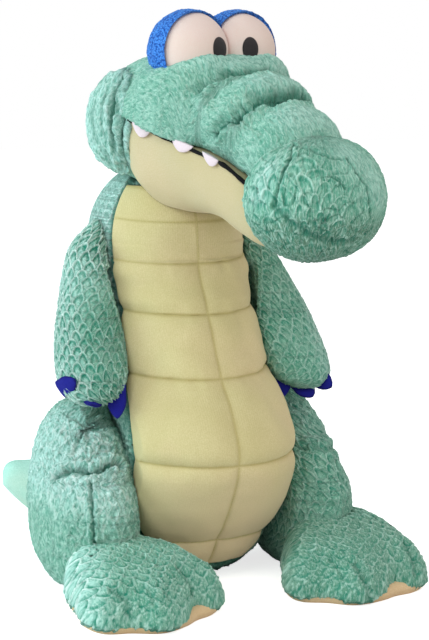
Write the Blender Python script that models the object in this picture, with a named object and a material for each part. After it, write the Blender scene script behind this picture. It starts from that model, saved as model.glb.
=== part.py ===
"""Seated plush crocodile, built as separate stuffed pieces.

Metres, +Z up. The crocodile faces -Y and its own left side is +X. The origin is
the centre of the flat seat face under the torso. The head is turned a little to
its left, as in the photograph.
"""
import math

import bmesh
import bpy
from mathutils import Matrix, Vector

# How finely the stuffed forms are faceted, in counts.
TORSO_AROUND, TORSO_STEPS = 28, 2
HEAD_AROUND, HEAD_STEPS = 24, 2
LIMB_AROUND, LIMB_STEPS = 18, 2
THIGH_AROUND, TAIL_AROUND = 24, 20
NECK_ROWS, DOME_ROWS, DOME_AROUND = 4, 8, 36
BALL_AROUND, BALL_STEPS = 20, 12
PUPIL_AROUND, PUPIL_STEPS = 14, 2
TOOTH_AROUND, CLAW_AROUND = 8, 10
FOOT_AROUND = 40
PANEL_FIELD_STEPS = 3

# Clearances and cuts.
GAP = 0.0003            # between two sewn pieces that touch
OVERRUN = 0.004         # how far a cutter runs past what it cuts
FLAT_DEPTH = 0.0005     # how deep a soft underside is pressed flat

# Torso: a pear-shaped bag with a round dome that carries the head.
SEAT_TO_DOME = 0.272    # seat face to the dome's centre, which is the head pivot
DOME_R = 0.064          # round top of the torso
NECK_Y = 0.039          # the neck stands this far behind the origin
TORSO_HALF_WIDTH = 0.075
TORSO_FRONT = 0.101     # how far the belly stands in front of the origin
TORSO_BACK = 0.102      # how far the back stands behind it

# Belly panel: padded, sewn in six rows and two columns.
PANEL_THICK = 0.007
PANEL_PUFF = 0.0050     # crown of each sewn field
PANEL_BED = 0.0008      # between the panel and the bed that is cut for it
PANEL_SPAN = math.radians(132)
PANEL_FOOT_SPAN = math.radians(64)
PANEL_TOP_INSET = 0.010     # below the neck pad's flat
PANEL_PUFFED_ROWS = 5       # the rows above lie flat under the chin

# Neck pad: the stuffed disc that the head is sewn round.
NECK_PAD_R = 0.034

# Head.
HEAD_TURN = math.radians(12)
HEAD_LENGTH = 0.250     # back of the head to the tip of the snout, without the nose
HEAD_HALF_WIDTH = 0.063
HEAD_HALF_HEIGHT = 0.056
HEAD_RISE = 0.094       # head's middle above the pivot
HEAD_BACK_SHARE = 0.2   # of HEAD_LENGTH, behind the pivot
SNOUT_DROP = 0.050      # how far the snout's tip sinks below the head's middle

NOSE_HALF_WIDTH = 0.055
NOSE_HALF_DEPTH = 0.045
NOSE_HALF_HEIGHT = 0.045
NOSE_REACH = 0.194      # nose centre in front of the pivot
NOSE_RISE = 0.0425      # nose centre above the pivot

CHEEK_OFFSET = 0.049
CHEEK_HALF_WIDTH = 0.024
CHEEK_HALF_DEPTH = 0.034
CHEEK_HALF_HEIGHT = 0.041
CHEEK_REACH = 0.009
CHEEK_RISE = 0.095

JAW_BACK = 0.036        # seam between jaw and cheek, in front of the pivot
JAW_LENGTH = 0.128
JAW_HALF_WIDTH = 0.062
JAW_DEPTH = 0.060
JAW_LIP_SHARE = 0.4     # the form runs this far above the mouth line, then is cut
MOUTH_CORNER_RISE = 0.100   # mouth corner above the pivot
MOUTH_DROP = 0.062      # fall of the mouth line from its corner to the nose
LINING_THICK = 0.0020
LINING_SHOW = 0.0010    # how far the lining stands out of the jaw

EYE_R = 0.031
EYE_OFFSET = 0.0235     # each eye centre from the head's middle
EYE_REACH = 0.066
EYE_RISE = 0.151
LID_THICK = 0.0022
LID_FORWARD = 0.010     # the lid's edge in front of the eye's centre
PUPIL_HALF_WIDTH = 0.0055
PUPIL_HALF_HEIGHT = 0.0078
PUPIL_THICK = 0.0010
PUPIL_TOE_IN = math.radians(17)
PUPIL_STAND = 0.0010    # the pupil's middle above the top of the head's middle

TOOTH_WIDTH = 0.0125
TOOTH_LENGTH = 0.0125
TOOTH_THICK = 0.0045

# Arms.
SHOULDER_X = 0.0610     # flat where the arm is sewn on
SHOULDER_Y = 0.025
SHOULDER_DROP = 0.006   # below the dome's centre
SHOULDER_FLAT_R = 0.024
SHOULDER_PLAY = 0.001   # round the arm's root, so that it can turn
ARM_PLAY = 0.005        # beside the torso, where the arm swings past it
ARM_LENGTH = 0.117
ARM_HALF_WIDTH = 0.028
ARM_HALF_DEPTH = 0.028
ARM_OUT = 0.020         # outward shift from shoulder to hand
ARM_FORWARD = 0.060     # forward shift from shoulder to hand
ARM_INSET_SHARE = 0.45  # of the half width, from the shoulder's flat to the arm's middle
ARM_BEND_SHARE = 0.4    # how much of the forward shift comes late
CLAW_LENGTH = 0.0155
CLAW_HALF_WIDTH = 0.0090
CLAW_HALF_THICK = 0.0026

# Legs.
HIP_X = 0.067           # flat where the leg is sewn on
HIP_Y = -0.010
HIP_Z = 0.066
THIGH_HALF_WIDTH = 0.035
THIGH_HALF_DEPTH = 0.072
THIGH_HEIGHT = 0.144
THIGH_SWEEP_R = 0.088   # the torso is flat within this distance of the hip
FOOT_X = (0.104, -0.088)    # left and right ankle
FOOT_TURN = (math.radians(-16), 0.0)    # toes turned towards the crocodile's left
FOOT_Y = -0.064
FOOT_REACH = 0.108      # ankle to the tip of a toe
FOOT_HEIGHT = 0.051
FOOT_RIM = 0.002        # the toes' lower edge above the floor
SOLE_EDGE = 0.005
SOLE_CROWN = 0.010

# Tail.
TAIL_PIVOT_Y = 0.106
TAIL_ROOT_R = 0.042
TAIL_SOCKET_PLAY = 0.0012   # round the root, so that it can turn
TAIL_LENGTH = 0.124
TAIL_TIP_RISE = 0.026   # the tip's middle above a tail that lies flat
TAIL_HEIGHT = 0.080
TAIL_HEADING = math.radians(28)     # the root's turn to the crocodile's right
TAIL_CURL = math.radians(52)        # the further turn along the tail

# Tables of shares, chosen by hand. Each row follows the sizes named beside it.
# Torso: height of SEAT_TO_DOME, half width, front of TORSO_FRONT, back of
# TORSO_BACK, and the widest place between front and back.
TORSO_SHARES = [
    (0.000, 0.74, 0.26, 0.74, 0.50),
    (0.045, 0.90, 0.42, 0.88, 0.50),
    (0.136, 0.98, 0.60, 0.95, 0.46),
    (0.257, 1.00, 0.85, 0.98, 0.42),
    (0.393, 1.00, 1.00, 1.00, 0.40),
    (0.515, 0.955, 0.89, 1.00, 0.43),
    (0.629, 0.88, 0.66, 1.00, 0.46),
    (0.805, 0.825, 0.42, 0.995, 0.49),
    (0.905, 0.836, 0.28, 1.00, 0.50),
]
# Belly panel: lower edge of each sewn row, as a share of SEAT_TO_DOME.
PANEL_ROW_SHARES = [0.05, 0.136, 0.393, 0.629, 0.805, 0.949, 1.070]

# Head: reach along HEAD_LENGTH from the back, rise of SNOUT_DROP, tilt in
# degrees, half width, half height above and below the ring's centre, and the
# exponent of the ring.
HEAD_SHARES = [
    (0.012, 0.02, 0, 0.22, 0.18, 0.16, 2.0),
    (0.050, 0.02, 0, 0.56, 0.48, 0.44, 2.1),
    (0.130, 0.01, 0, 0.82, 0.76, 0.80, 2.2),
    (0.240, 0.00, 0, 0.96, 0.93, 0.93, 2.4),
    (0.380, 0.00, 3, 0.99, 0.98, 0.93, 2.5),
    (0.480, 0.04, 9, 0.91, 0.97, 0.87, 2.5),
    (0.560, 0.13, 18, 0.79, 0.84, 0.80, 2.4),
    (0.635, 0.18, 24, 0.70, 0.60, 0.72, 2.2),
    (0.710, 0.09, 27, 0.72, 0.66, 0.68, 2.2),
    (0.775, -0.12, 30, 0.64, 0.50, 0.62, 2.1),
    (0.845, -0.31, 30, 0.66, 0.58, 0.56, 2.1),
    (0.910, -0.56, 30, 0.57, 0.42, 0.50, 2.1),
    (0.950, -0.70, 30, 0.43, 0.32, 0.36, 2.0),
]

# Jaw: reach along JAW_LENGTH, half width, depth below the mouth line.
JAW_SHARES = [
    (-0.22, 0.82, 0.80),
    (0.00, 0.975, 0.98),
    (0.20, 0.87, 0.98),
    (0.38, 0.76, 0.97),
    (0.54, 0.69, 0.97),
    (0.72, 0.64, 0.95),
    (0.88, 0.57, 0.86),
    (1.00, 0.46, 0.64),
]
MOUTH_SHARES = [(-0.10, -0.05), (0.06, 0.05), (0.22, 0.18), (0.38, 0.30), (0.54, 0.40),
                (0.72, 0.53), (0.86, 0.70), (0.97, 0.88), (1.08, 1.08)]
TOOTH_PLACE_SHARES = [0.13, 0.46, 0.76]
# Tooth: way to the tip, width and thickness.
TOOTH_SHARES = [(0.0, 1.0, 1.0), (0.40, 0.92, 0.92), (0.70, 0.68, 0.76), (0.90, 0.36, 0.52)]

# Arm: way from shoulder to fingertips, half width, half depth.
ARM_SHARES = [
    (-0.10, 0.30, 0.34), (-0.05, 0.47, 0.54), (0.08, 0.61, 0.70), (0.30, 0.82, 0.86),
    (0.55, 0.98, 0.94), (0.78, 1.02, 1.00), (0.92, 0.82, 0.84), (0.985, 0.42, 0.46),
]
ARM_POLE_SHARES = (-0.12, 1.0)
# Claws, from the inner one outwards: place on the hand as shares of ARM_HALF_WIDTH,
# the way that the claw points and the way of its root, each outwards, back and up.
CLAW_SHARES = {
    "l": [((-0.54, -0.02, -0.45), (-0.34, -0.10, -0.93), (0.87, -0.42, -0.28)),
          ((0.00, -0.37, -0.58), (0.08, -0.92, -0.39), (0.85, -0.14, 0.51)),
          ((0.47, -0.55, -0.34), (0.19, -0.93, -0.32), (0.61, -0.14, 0.78))],
    "r": [((-0.47, -0.60, -0.42), (0.06, -0.24, -0.97), (-0.91, -0.41, 0.05)),
          ((0.25, -0.59, -0.44), (0.42, -0.90, -0.07), (-0.88, -0.39, -0.28)),
          ((0.88, -0.26, 0.01), (-0.05, -0.92, 0.40), (-0.47, -0.33, -0.82))],
}
CLAW_TAPER_SHARES = [(0.0, 1.0), (0.42, 1.0), (0.70, 0.76), (0.90, 0.38)]
CLAW_ROOT_SHARE, CLAW_SUNK_SHARE = 0.86, 0.40

# Thigh: height of THIGH_HEIGHT, half width, front and back of THIGH_HALF_DEPTH
# from the hip, and the outward shift of THIGH_HALF_WIDTH.
THIGH_SHARES = [
    (-0.004, 0.34, -0.56, 0.44, 0.00), (0.06, 0.62, -0.86, 0.70, 0.04), (0.20, 0.88, -1.08, 0.88, 0.05),
    (0.42, 1.00, -1.05, 0.97, 0.00), (0.62, 0.97, -0.83, 0.98, -0.06), (0.80, 0.84, -0.49, 0.90, -0.16),
    (0.93, 0.58, -0.10, 0.73, -0.28), (0.99, 0.24, 0.18, 0.50, -0.34),
]

THIGH_OUT_SHARE = 0.80

# Foot: turn from straight ahead to the crocodile's left in degrees, and the
# outline's reach from the ankle for the green upper and for the sole.
FOOT_SHARES = [
    (-180, 0.36, 0.34), (-120, 0.36, 0.34), (-80, 0.42, 0.40), (-54, 0.55, 0.53), (-40, 0.78, 0.75),
    (-28, 0.95, 0.91), (-15, 0.92, 0.91), (-2, 1.02, 0.97), (12, 0.90, 0.90), (22, 0.79, 0.84), (34, 0.86, 0.84),
    (46, 0.82, 0.79), (62, 0.60, 0.58), (90, 0.46, 0.44), (130, 0.40, 0.38), (180, 0.36, 0.34),
]
# Foot upper: outline scale and height, from the rim up.
FOOT_RISE_SHARES = [(0.90, -1.0), (0.985, 0.04), (1.0, 0.20), (0.965, 0.40), (0.86, 0.62), (0.68, 0.82),
                    (0.42, 0.95)]

FOOT_TOE_FALL_SHARE = 0.42
SOLE_RISE_SHARES = [(0.94, 0.0), (1.0, 0.05), (0.86, 0.55), (0.5, 0.95)]

# Tail: way to the tip, half width, height.
TAIL_SHARES = [
    (0.00, 1.00, 1.00), (0.20, 0.98, 0.96), (0.45, 0.93, 0.90), (0.68, 0.84, 0.82),
    (0.86, 0.70, 0.70), (0.95, 0.52, 0.52), (0.99, 0.28, 0.28),
]

SUPER_ROUND, SUPER_FULL = 2.0, 2.6     # exponents of a round and a fuller ring


def clear_scene():
    for old in list(bpy.data.objects):
        bpy.data.objects.remove(old, do_unlink=True)


def material(name, colour, roughness, metallic=0.0):
    mat = bpy.data.materials.new(name)
    mat.use_nodes = True
    shader = mat.node_tree.nodes["Principled BSDF"]
    shader.inputs["Base Color"].default_value = (*colour, 1.0)
    shader.inputs["Roughness"].default_value = roughness
    shader.inputs["Metallic"].default_value = metallic
    mat.diffuse_color = (*colour, 1.0)
    return mat


def spline(rows, position):
    """Value of every column of a share table at a place between its rows."""
    last = len(rows) - 1
    index = min(int(position), last - 1)
    part = position - index
    before, start = rows[max(index - 1, 0)], rows[index]
    end, after = rows[index + 1], rows[min(index + 2, last)]
    values = []
    for p0, p1, p2, p3 in zip(before, start, end, after):
        values.append(0.5 * (2 * p1 + (p2 - p0) * part + (2 * p0 - 5 * p1 + 4 * p2 - p3) * part ** 2
                             + (3 * p1 - p0 - 3 * p2 + p3) * part ** 3))
    return values


def table_rows(rows, steps):
    count = (len(rows) - 1) * steps
    return [spline(rows, index / steps) for index in range(count + 1)]


def super_ring(turn, half_u, half_v, power):
    """A point of a ring that is round at power 2 and fuller above it."""
    cosine, sine = math.cos(turn), math.sin(turn)
    along_u = math.copysign(abs(cosine) ** (2 / power), cosine) * half_u
    along_v = math.copysign(abs(sine) ** (2 / power), sine) * half_v
    return along_u, along_v


def mesh_from_rings(rings, start_pole=None, end_pole=None):
    """A closed mesh through rings of points, with a pole or a flat cap at each end."""
    bm = bmesh.new()
    loops = [[bm.verts.new(point) for point in ring] for ring in rings]
    count = len(rings[0])
    for low, high in zip(loops, loops[1:]):
        for index in range(count):
            after = (index + 1) % count
            bm.faces.new((low[index], low[after], high[after], high[index]))
    for loop, pole in ((list(reversed(loops[0])), start_pole), (loops[-1], end_pole)):
        if pole is None:
            bm.faces.new(loop)
            continue
        tip = bm.verts.new(pole)
        for index in range(count):
            bm.faces.new((loop[index], loop[(index + 1) % count], tip))
    bmesh.ops.recalc_face_normals(bm, faces=bm.faces)
    return bm


def swell(bm, distance):
    """Moves every point outwards, for the cutter that leaves a gap round a form."""
    bm.normal_update()
    moves = [(vert, vert.normal * distance) for vert in bm.verts]
    for vert, move in moves:
        vert.co += move
    return bm


def add_object(name, bm, mat=None, parent=None, sharp=40):
    mesh = bpy.data.meshes.new(name)
    bm.to_mesh(mesh)
    bm.free()
    mesh.shade_smooth()
    mesh.set_sharp_from_angle(angle=math.radians(sharp))
    thing = bpy.data.objects.new(name, mesh)
    bpy.context.scene.collection.objects.link(thing)
    if mat is not None:
        mesh.materials.append(mat)
    thing.parent = parent
    return thing


def add_cutter(name, bm, parent=None):
    thing = add_object("cut_" + name, bm, parent=parent)
    thing.hide_render = True
    thing.display_type = "WIRE"
    return thing


def add_empty(name, place, turn=0.0, parent=None):
    thing = bpy.data.objects.new(name, None)
    bpy.context.scene.collection.objects.link(thing)
    thing.location = place
    thing.rotation_euler = (0.0, 0.0, turn)
    thing.parent = parent
    return thing


def boolean(target, cutter, operation="DIFFERENCE"):
    change = target.modifiers.new(operation.lower() + "_" + cutter.name, "BOOLEAN")
    change.operation = operation
    change.solver = "EXACT"
    change.object = cutter
    return change


def box_mesh(low, high):
    bm = bmesh.new()
    bmesh.ops.create_cube(bm, size=1.0)
    low, high = Vector(low), Vector(high)
    bmesh.ops.scale(bm, vec=high - low, verts=bm.verts)
    bmesh.ops.translate(bm, vec=(low + high) / 2, verts=bm.verts)
    return bm


def ball_mesh(radii, centre, around=BALL_AROUND, steps=BALL_STEPS):
    """An ellipsoid with its poles on the Z axis."""
    rings = []
    for step in range(1, steps):
        rise = -math.pi / 2 + math.pi * step / steps
        ring = []
        for index in range(around):
            turn = 2 * math.pi * index / around
            point = Vector((math.cos(turn) * math.cos(rise), math.sin(turn) * math.cos(rise), math.sin(rise)))
            ring.append(Vector(centre) + Vector([a * b for a, b in zip(point, radii)]))
        rings.append(ring)
    tip = Vector((0.0, 0.0, radii[2]))
    return mesh_from_rings(rings, Vector(centre) - tip, Vector(centre) + tip)


def drum_mesh(radius, low, high, around, axis="Z"):
    rings = []
    for level in (low, high):
        ring = []
        for index in range(around):
            turn = 2 * math.pi * index / around
            first, second = radius * math.cos(turn), radius * math.sin(turn)
            ring.append(Vector((level, first, second)) if axis == "X" else Vector((first, second, level)))
        rings.append(ring)
    return mesh_from_rings(rings)


def prism_mesh(outline, half_width):
    """An outline in (forward, up), drawn across the head's whole width."""
    rings = [[Vector((side, -forward, up)) for forward, up in outline] for side in (-half_width, half_width)]
    return mesh_from_rings(rings)


# Torso and belly panel share one skin, given by its height and a turn from the front.

def torso_section(height):
    """Half width, front, back and widest place of the torso at a height."""
    if height > SEAT_TO_DOME * TORSO_SHARES[-1][0]:
        above = max(height - SEAT_TO_DOME, 0.0)
        radius = math.sqrt(max(DOME_R ** 2 - above ** 2, 0.0))
        if height >= SEAT_TO_DOME:
            return radius, radius - NECK_Y, radius + NECK_Y, NECK_Y
    share = height / SEAT_TO_DOME
    rows = TORSO_SHARES + [(1.0, DOME_R / TORSO_HALF_WIDTH, (DOME_R - NECK_Y) / TORSO_FRONT,
                            (DOME_R + NECK_Y) / TORSO_BACK, 0.5)]
    index = 0
    while index < len(rows) - 2 and rows[index + 1][0] < share:
        index += 1
    part = (share - rows[index][0]) / (rows[index + 1][0] - rows[index][0])
    _, width, front, back, widest = spline(rows, index + part)
    front_reach, back_reach = front * TORSO_FRONT, back * TORSO_BACK
    middle = -front_reach + (front_reach + back_reach) * widest
    return width * TORSO_HALF_WIDTH, front_reach, back_reach, middle


def torso_point(height, turn, out=0.0):
    """A point of the torso's skin; turn 0 is the front and grows towards +X."""
    half_width, front, back, middle = torso_section(height)
    depth = (front + middle) if math.cos(turn) > 0 else (back - middle)
    side = math.sin(turn) * (half_width + out)
    forward = math.cos(turn) * (depth + out)
    return Vector((side, middle - forward, height))


def neck_flat_height():
    return SEAT_TO_DOME + math.sqrt(DOME_R ** 2 - NECK_PAD_R ** 2)


def torso_mesh(out=0.0):
    heights = [SEAT_TO_DOME * row[0] for row in table_rows(TORSO_SHARES, TORSO_STEPS)]
    top = neck_flat_height() - GAP
    top_angle = math.asin((top - SEAT_TO_DOME) / DOME_R)
    heights += [SEAT_TO_DOME + DOME_R * math.sin(top_angle * step / DOME_ROWS) for step in range(DOME_ROWS + 1)]
    rings = []
    for height in heights:
        rings.append([torso_point(height, 2 * math.pi * index / TORSO_AROUND, out)
                      for index in range(TORSO_AROUND)])
    return mesh_from_rings(rings)


def panel_half_turn(share):
    """Half the angle that the belly panel covers; it narrows to its foot."""
    first, second = PANEL_ROW_SHARES[0], PANEL_ROW_SHARES[2]
    blend = min(max((share - first) / (second - first), 0.0), 1.0)
    blend = math.sin(blend * math.pi / 2)
    return (PANEL_FOOT_SPAN + (PANEL_SPAN - PANEL_FOOT_SPAN) * blend) / 2


def panel_mesh(inner, outer, puff, spread):
    """A slab that follows the torso's skin from inner to outer, with sewn fields."""
    steps = PANEL_FIELD_STEPS
    shares = PANEL_ROW_SHARES + [(neck_flat_height() - PANEL_TOP_INSET) / SEAT_TO_DOME]
    levels = []
    for row, (low, high) in enumerate(zip(shares, shares[1:])):
        rise = 1 / steps if row < PANEL_PUFFED_ROWS else 0.0
        levels += [(low + (high - low) * step / steps, step * rise) for step in range(steps)]
    levels.append((shares[-1], 0.0))
    columns = steps * 2
    last = len(levels) - 1
    faces_out, faces_in = [], []
    for row, (share, field) in enumerate(levels):
        height = share * SEAT_TO_DOME
        if row == 0:
            height -= spread
        if row == last:
            height += spread
        half = panel_half_turn(share) + spread / DOME_R
        line_out, line_in = [], []
        for column in range(-columns, columns + 1):
            turn = half * column / columns
            across = abs(column) / columns
            crown = math.sin(math.pi * field) * math.sin(math.pi * across)
            crown = math.sqrt(max(crown, 0.0)) * puff
            line_out.append(torso_point(height, turn, outer + crown))
            line_in.append(torso_point(height, turn, -inner))
        faces_out.append(line_out)
        faces_in.append(line_in)
    rings = [out + list(reversed(inn)) for out, inn in zip(faces_out, faces_in)]
    return mesh_from_rings_of_slab(rings)


def mesh_from_rings_of_slab(rings):
    """Rings whose second half runs back along the first; the ends close as strips.

    The sides are triangles, so that a panel and the cutter of its bed fold alike.
    """
    bm = bmesh.new()
    loops = [[bm.verts.new(point) for point in ring] for ring in rings]
    count = len(rings[0])
    half = count // 2
    for low, high in zip(loops, loops[1:]):
        for index in range(count):
            after = (index + 1) % count
            bm.faces.new((low[index], low[after], high[after]))
            bm.faces.new((low[index], high[after], high[index]))
    for loop in (loops[0], loops[-1]):
        for index in range(half - 1):
            bm.faces.new((loop[index], loop[index + 1], loop[count - 2 - index], loop[count - 1 - index]))
    bmesh.ops.recalc_face_normals(bm, faces=bm.faces)
    return bm


def build_torso(mats):
    torso = add_object("torso", torso_mesh(), mats["green"])
    panel = add_object("belly_panel", panel_mesh(PANEL_THICK, 0.0, PANEL_PUFF, 0.0), mats["cream"])
    for side, tag in ((1, "l"), (-1, "r")):
        inner = (SHOULDER_X - GAP) * side
        outer = (DOME_R + OVERRUN) * side
        seat_r = SHOULDER_FLAT_R + SHOULDER_PLAY
        seat = drum_mesh(seat_r, min(inner, outer), max(inner, outer), TORSO_AROUND, "X")
        bmesh.ops.translate(seat, vec=(0.0, SHOULDER_Y, SEAT_TO_DOME - SHOULDER_DROP), verts=seat.verts)
        boolean(torso, add_cutter("shoulder_seat_" + tag, seat))
    rebate = add_cutter("belly_rebate", panel_mesh(PANEL_THICK + PANEL_BED, OVERRUN, 0.0, PANEL_BED))
    boolean(torso, rebate)
    for side, tag in ((1, "l"), (-1, "r")):
        low, high = HIP_X * side, (TORSO_HALF_WIDTH + OVERRUN + PANEL_PUFF) * side
        flank = drum_mesh(THIGH_SWEEP_R, min(low, high), max(low, high), TORSO_AROUND, "X")
        bmesh.ops.translate(flank, vec=(0.0, HIP_Y, HIP_Z), verts=flank.verts)
        flank = add_cutter("flank_" + tag, flank)
        boolean(torso, flank)
        boolean(panel, flank)
    root = [TAIL_ROOT_R, TAIL_ROOT_R, TAIL_HEIGHT / 2]
    socket = ball_mesh(root, (0.0, TAIL_PIVOT_Y, TAIL_HEIGHT / 2 - FLAT_DEPTH), TORSO_AROUND, BALL_STEPS)
    boolean(torso, add_cutter("tail_socket", swell(socket, TAIL_SOCKET_PLAY)))
    return torso, panel


def build_neck(mats):
    low = neck_flat_height()
    rings = []
    top_angle = math.asin(NECK_PAD_R / DOME_R)
    for row in range(NECK_ROWS):
        angle = top_angle * (1 - row / NECK_ROWS)
        ring = []
        for index in range(TORSO_AROUND):
            turn = 2 * math.pi * index / TORSO_AROUND
            ring.append(Vector((DOME_R * math.sin(angle) * math.cos(turn),
                                NECK_Y + DOME_R * math.sin(angle) * math.sin(turn),
                                SEAT_TO_DOME + DOME_R * math.cos(angle))))
        rings.append(ring)
    rings[0] = [Vector((point.x, point.y, low)) for point in rings[0]]
    pad = mesh_from_rings(rings, None, Vector((0.0, NECK_Y, SEAT_TO_DOME + DOME_R)))
    return add_object("neck_pad", pad, mats["green"])


def head_mesh():
    rings = []
    back = HEAD_LENGTH * HEAD_BACK_SHARE
    for reach, rise, tilt, width, above, below, power in table_rows(HEAD_SHARES, HEAD_STEPS):
        centre = Vector((0.0, -(reach * HEAD_LENGTH - back), HEAD_RISE + rise * SNOUT_DROP))
        lean = math.radians(tilt)
        up = Vector((0.0, -math.sin(lean), math.cos(lean)))
        ring = []
        for index in range(HEAD_AROUND):
            turn = 2 * math.pi * index / HEAD_AROUND
            half_height = (above if math.sin(turn) > 0 else below) * HEAD_HALF_HEIGHT
            side, lift = super_ring(turn, width * HEAD_HALF_WIDTH, half_height, power)
            ring.append(centre + Vector((side, 0.0, 0.0)) + up * lift)
        rings.append(ring)
    start = sum(rings[0], Vector()) / HEAD_AROUND
    end = sum(rings[-1], Vector()) / HEAD_AROUND
    return mesh_from_rings(rings, start, end)


def mouth_line(shift):
    """The mouth line in (forward, up) from the pivot, moved up by shift."""
    return [(JAW_BACK + JAW_LENGTH * reach, MOUTH_CORNER_RISE - MOUTH_DROP * fall + shift)
            for reach, fall in MOUTH_SHARES]


def mouth_height(forward):
    line = mouth_line(0.0)
    for (first, high), (second, low) in zip(line, line[1:]):
        if forward <= second:
            return high + (low - high) * (forward - first) / (second - first)
    return line[-1][1]


def jaw_region(shift, back):
    """Outline of everything under the mouth line and in front of the cheek seam."""
    line = [point for point in mouth_line(shift) if point[0] > back]
    corner = (back, mouth_height(back) + shift)
    deep = -DOME_R
    return [(back, deep), (line[-1][0], deep)] + list(reversed(line)) + [corner]


def jaw_mesh():
    rings = []
    for reach, width, depth in table_rows(JAW_SHARES, HEAD_STEPS):
        forward = JAW_BACK + JAW_LENGTH * reach
        middle = mouth_height(forward)
        ring = []
        for index in range(HEAD_AROUND):
            turn = 2 * math.pi * index / HEAD_AROUND
            half_height = depth * JAW_DEPTH * (1.0 if math.sin(turn) < 0 else JAW_LIP_SHARE)
            side, lift = super_ring(turn, width * JAW_HALF_WIDTH, half_height, SUPER_FULL)
            ring.append(Vector((side, -forward, middle + lift)))
        rings.append(ring)
    return mesh_from_rings(rings)


def build_head(mats, frame):
    head = add_object("head", head_mesh(), mats["green"], frame)
    jaw = add_object("jaw", jaw_mesh(), mats["jaw"], frame)
    wide = HEAD_HALF_WIDTH * 2
    under = LINING_THICK / 2 + GAP
    over_mouth = add_cutter("over_mouth", prism_mesh(jaw_region(under, JAW_BACK - GAP), wide), frame)
    under_mouth = add_cutter("under_mouth", prism_mesh(jaw_region(-under, JAW_BACK), wide), frame)
    boolean(head, over_mouth)
    boolean(jaw, under_mouth, "INTERSECT")

    lining_skin = add_cutter("lining_skin", swell(jaw_mesh(), LINING_SHOW), frame)
    top, bottom = mouth_line(LINING_THICK / 2), mouth_line(-LINING_THICK / 2)
    strip = [point for point in top if point[0] > JAW_BACK]
    low_strip = [point for point in bottom if point[0] > JAW_BACK]
    lining = add_object("mouth_lining", prism_mesh(low_strip + list(reversed(strip)), wide), mats["lining"], frame)
    boolean(lining, lining_skin, "INTERSECT")

    nose_radii = (NOSE_HALF_WIDTH, NOSE_HALF_DEPTH, NOSE_HALF_HEIGHT)
    nose_centre = (0.0, -NOSE_REACH, NOSE_RISE)
    nose = add_object("nose", ball_mesh(nose_radii, nose_centre), mats["green"], frame)
    nose_cut = add_cutter("nose", swell(ball_mesh(nose_radii, nose_centre), GAP), frame)
    dome = ball_mesh([DOME_R + GAP] * 3, (0.0, 0.0, 0.0), DOME_AROUND, DOME_AROUND // 2)
    dome_cut = add_cutter("dome", swell(dome, GAP), frame)
    for piece in (head, jaw, lining):
        boolean(piece, nose_cut)
        boolean(piece, dome_cut)

    head_cut = add_cutter("head_skin", swell(head_mesh(), GAP), frame)
    for side, tag in ((1, "l"), (-1, "r")):
        radii = (CHEEK_HALF_WIDTH, CHEEK_HALF_DEPTH, CHEEK_HALF_HEIGHT)
        centre = (CHEEK_OFFSET * side, -CHEEK_REACH, CHEEK_RISE)
        cheek = add_object("cheek_" + tag, ball_mesh(radii, centre), mats["green"], frame)
        boolean(cheek, head_cut)
        jaw_skin = add_cutter("jaw_skin_" + tag, swell(jaw_mesh(), GAP), frame)
        boolean(cheek, jaw_skin)
    build_eyes(mats, frame, head_cut)
    build_teeth(mats, frame)
    return head, jaw


def build_eyes(mats, frame, head_cut):
    far = EYE_R * 2
    wide, high = HEAD_HALF_WIDTH * 2, HEAD_LENGTH
    for side, tag in ((1, "l"), (-1, "r")):
        centre = Vector((EYE_OFFSET * side, -EYE_REACH, EYE_RISE))
        low, top = sorted((-wide * side, GAP / 2 * side))
        middle = box_mesh((low, -high, 0.0), (top, high, high))
        middle = add_cutter("between_eyes_" + tag, middle, frame)
        eye = add_object("eye_" + tag, ball_mesh([EYE_R] * 3, centre), mats["white"], frame)
        lid_r = EYE_R + LID_THICK
        lid = add_object("eyelid_" + tag, ball_mesh([lid_r] * 3, centre), mats["blue"], frame)
        eye_skin = ball_mesh([EYE_R + GAP] * 3, centre)
        boolean(lid, add_cutter("eye_skin_" + tag, eye_skin, frame))
        front = box_mesh((-wide, centre.y - far, 0.0), (wide, centre.y - LID_FORWARD, high))
        boolean(lid, add_cutter("lid_front_" + tag, front, frame))
        for piece in (eye, lid):
            boolean(piece, middle)
            boolean(piece, head_cut)
        build_pupil(mats, frame, head_cut, centre, side, tag)


def build_pupil(mats, frame, head_cut, centre, side, tag):
    """A stitched oval that lies on the eyeball and looks a little inwards."""
    rows, around = PUPIL_STEPS, PUPIL_AROUND
    inner, outer = EYE_R + GAP * 2, EYE_R + GAP * 2 + PUPIL_THICK
    look_up = (HEAD_RISE + HEAD_HALF_HEIGHT + PUPIL_STAND - EYE_RISE) / EYE_R
    turn_in = Matrix.Rotation(-PUPIL_TOE_IN * side, 3, "Z") @ Matrix.Rotation(-look_up, 3, "X")
    rings = []
    for radius, order in ((inner, range(1, rows + 1)), (outer, range(rows, 0, -1))):
        for row in order:
            ring = []
            for index in range(around):
                turn = 2 * math.pi * index / around
                across = math.cos(turn) * PUPIL_HALF_WIDTH * row / rows
                up = math.sin(turn) * PUPIL_HALF_HEIGHT * row / rows
                point = Vector((across, -math.sqrt(EYE_R ** 2 - across ** 2 - up ** 2), up))
                ring.append(centre + turn_in @ (point * (radius / EYE_R)))
            rings.append(ring)
    ahead = turn_in @ Vector((0.0, -1.0, 0.0))
    pupil = mesh_from_rings(rings, centre + ahead * inner, centre + ahead * outer)
    pupil = add_object("pupil_" + tag, pupil, mats["black"], frame)
    boolean(pupil, head_cut)


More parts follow.
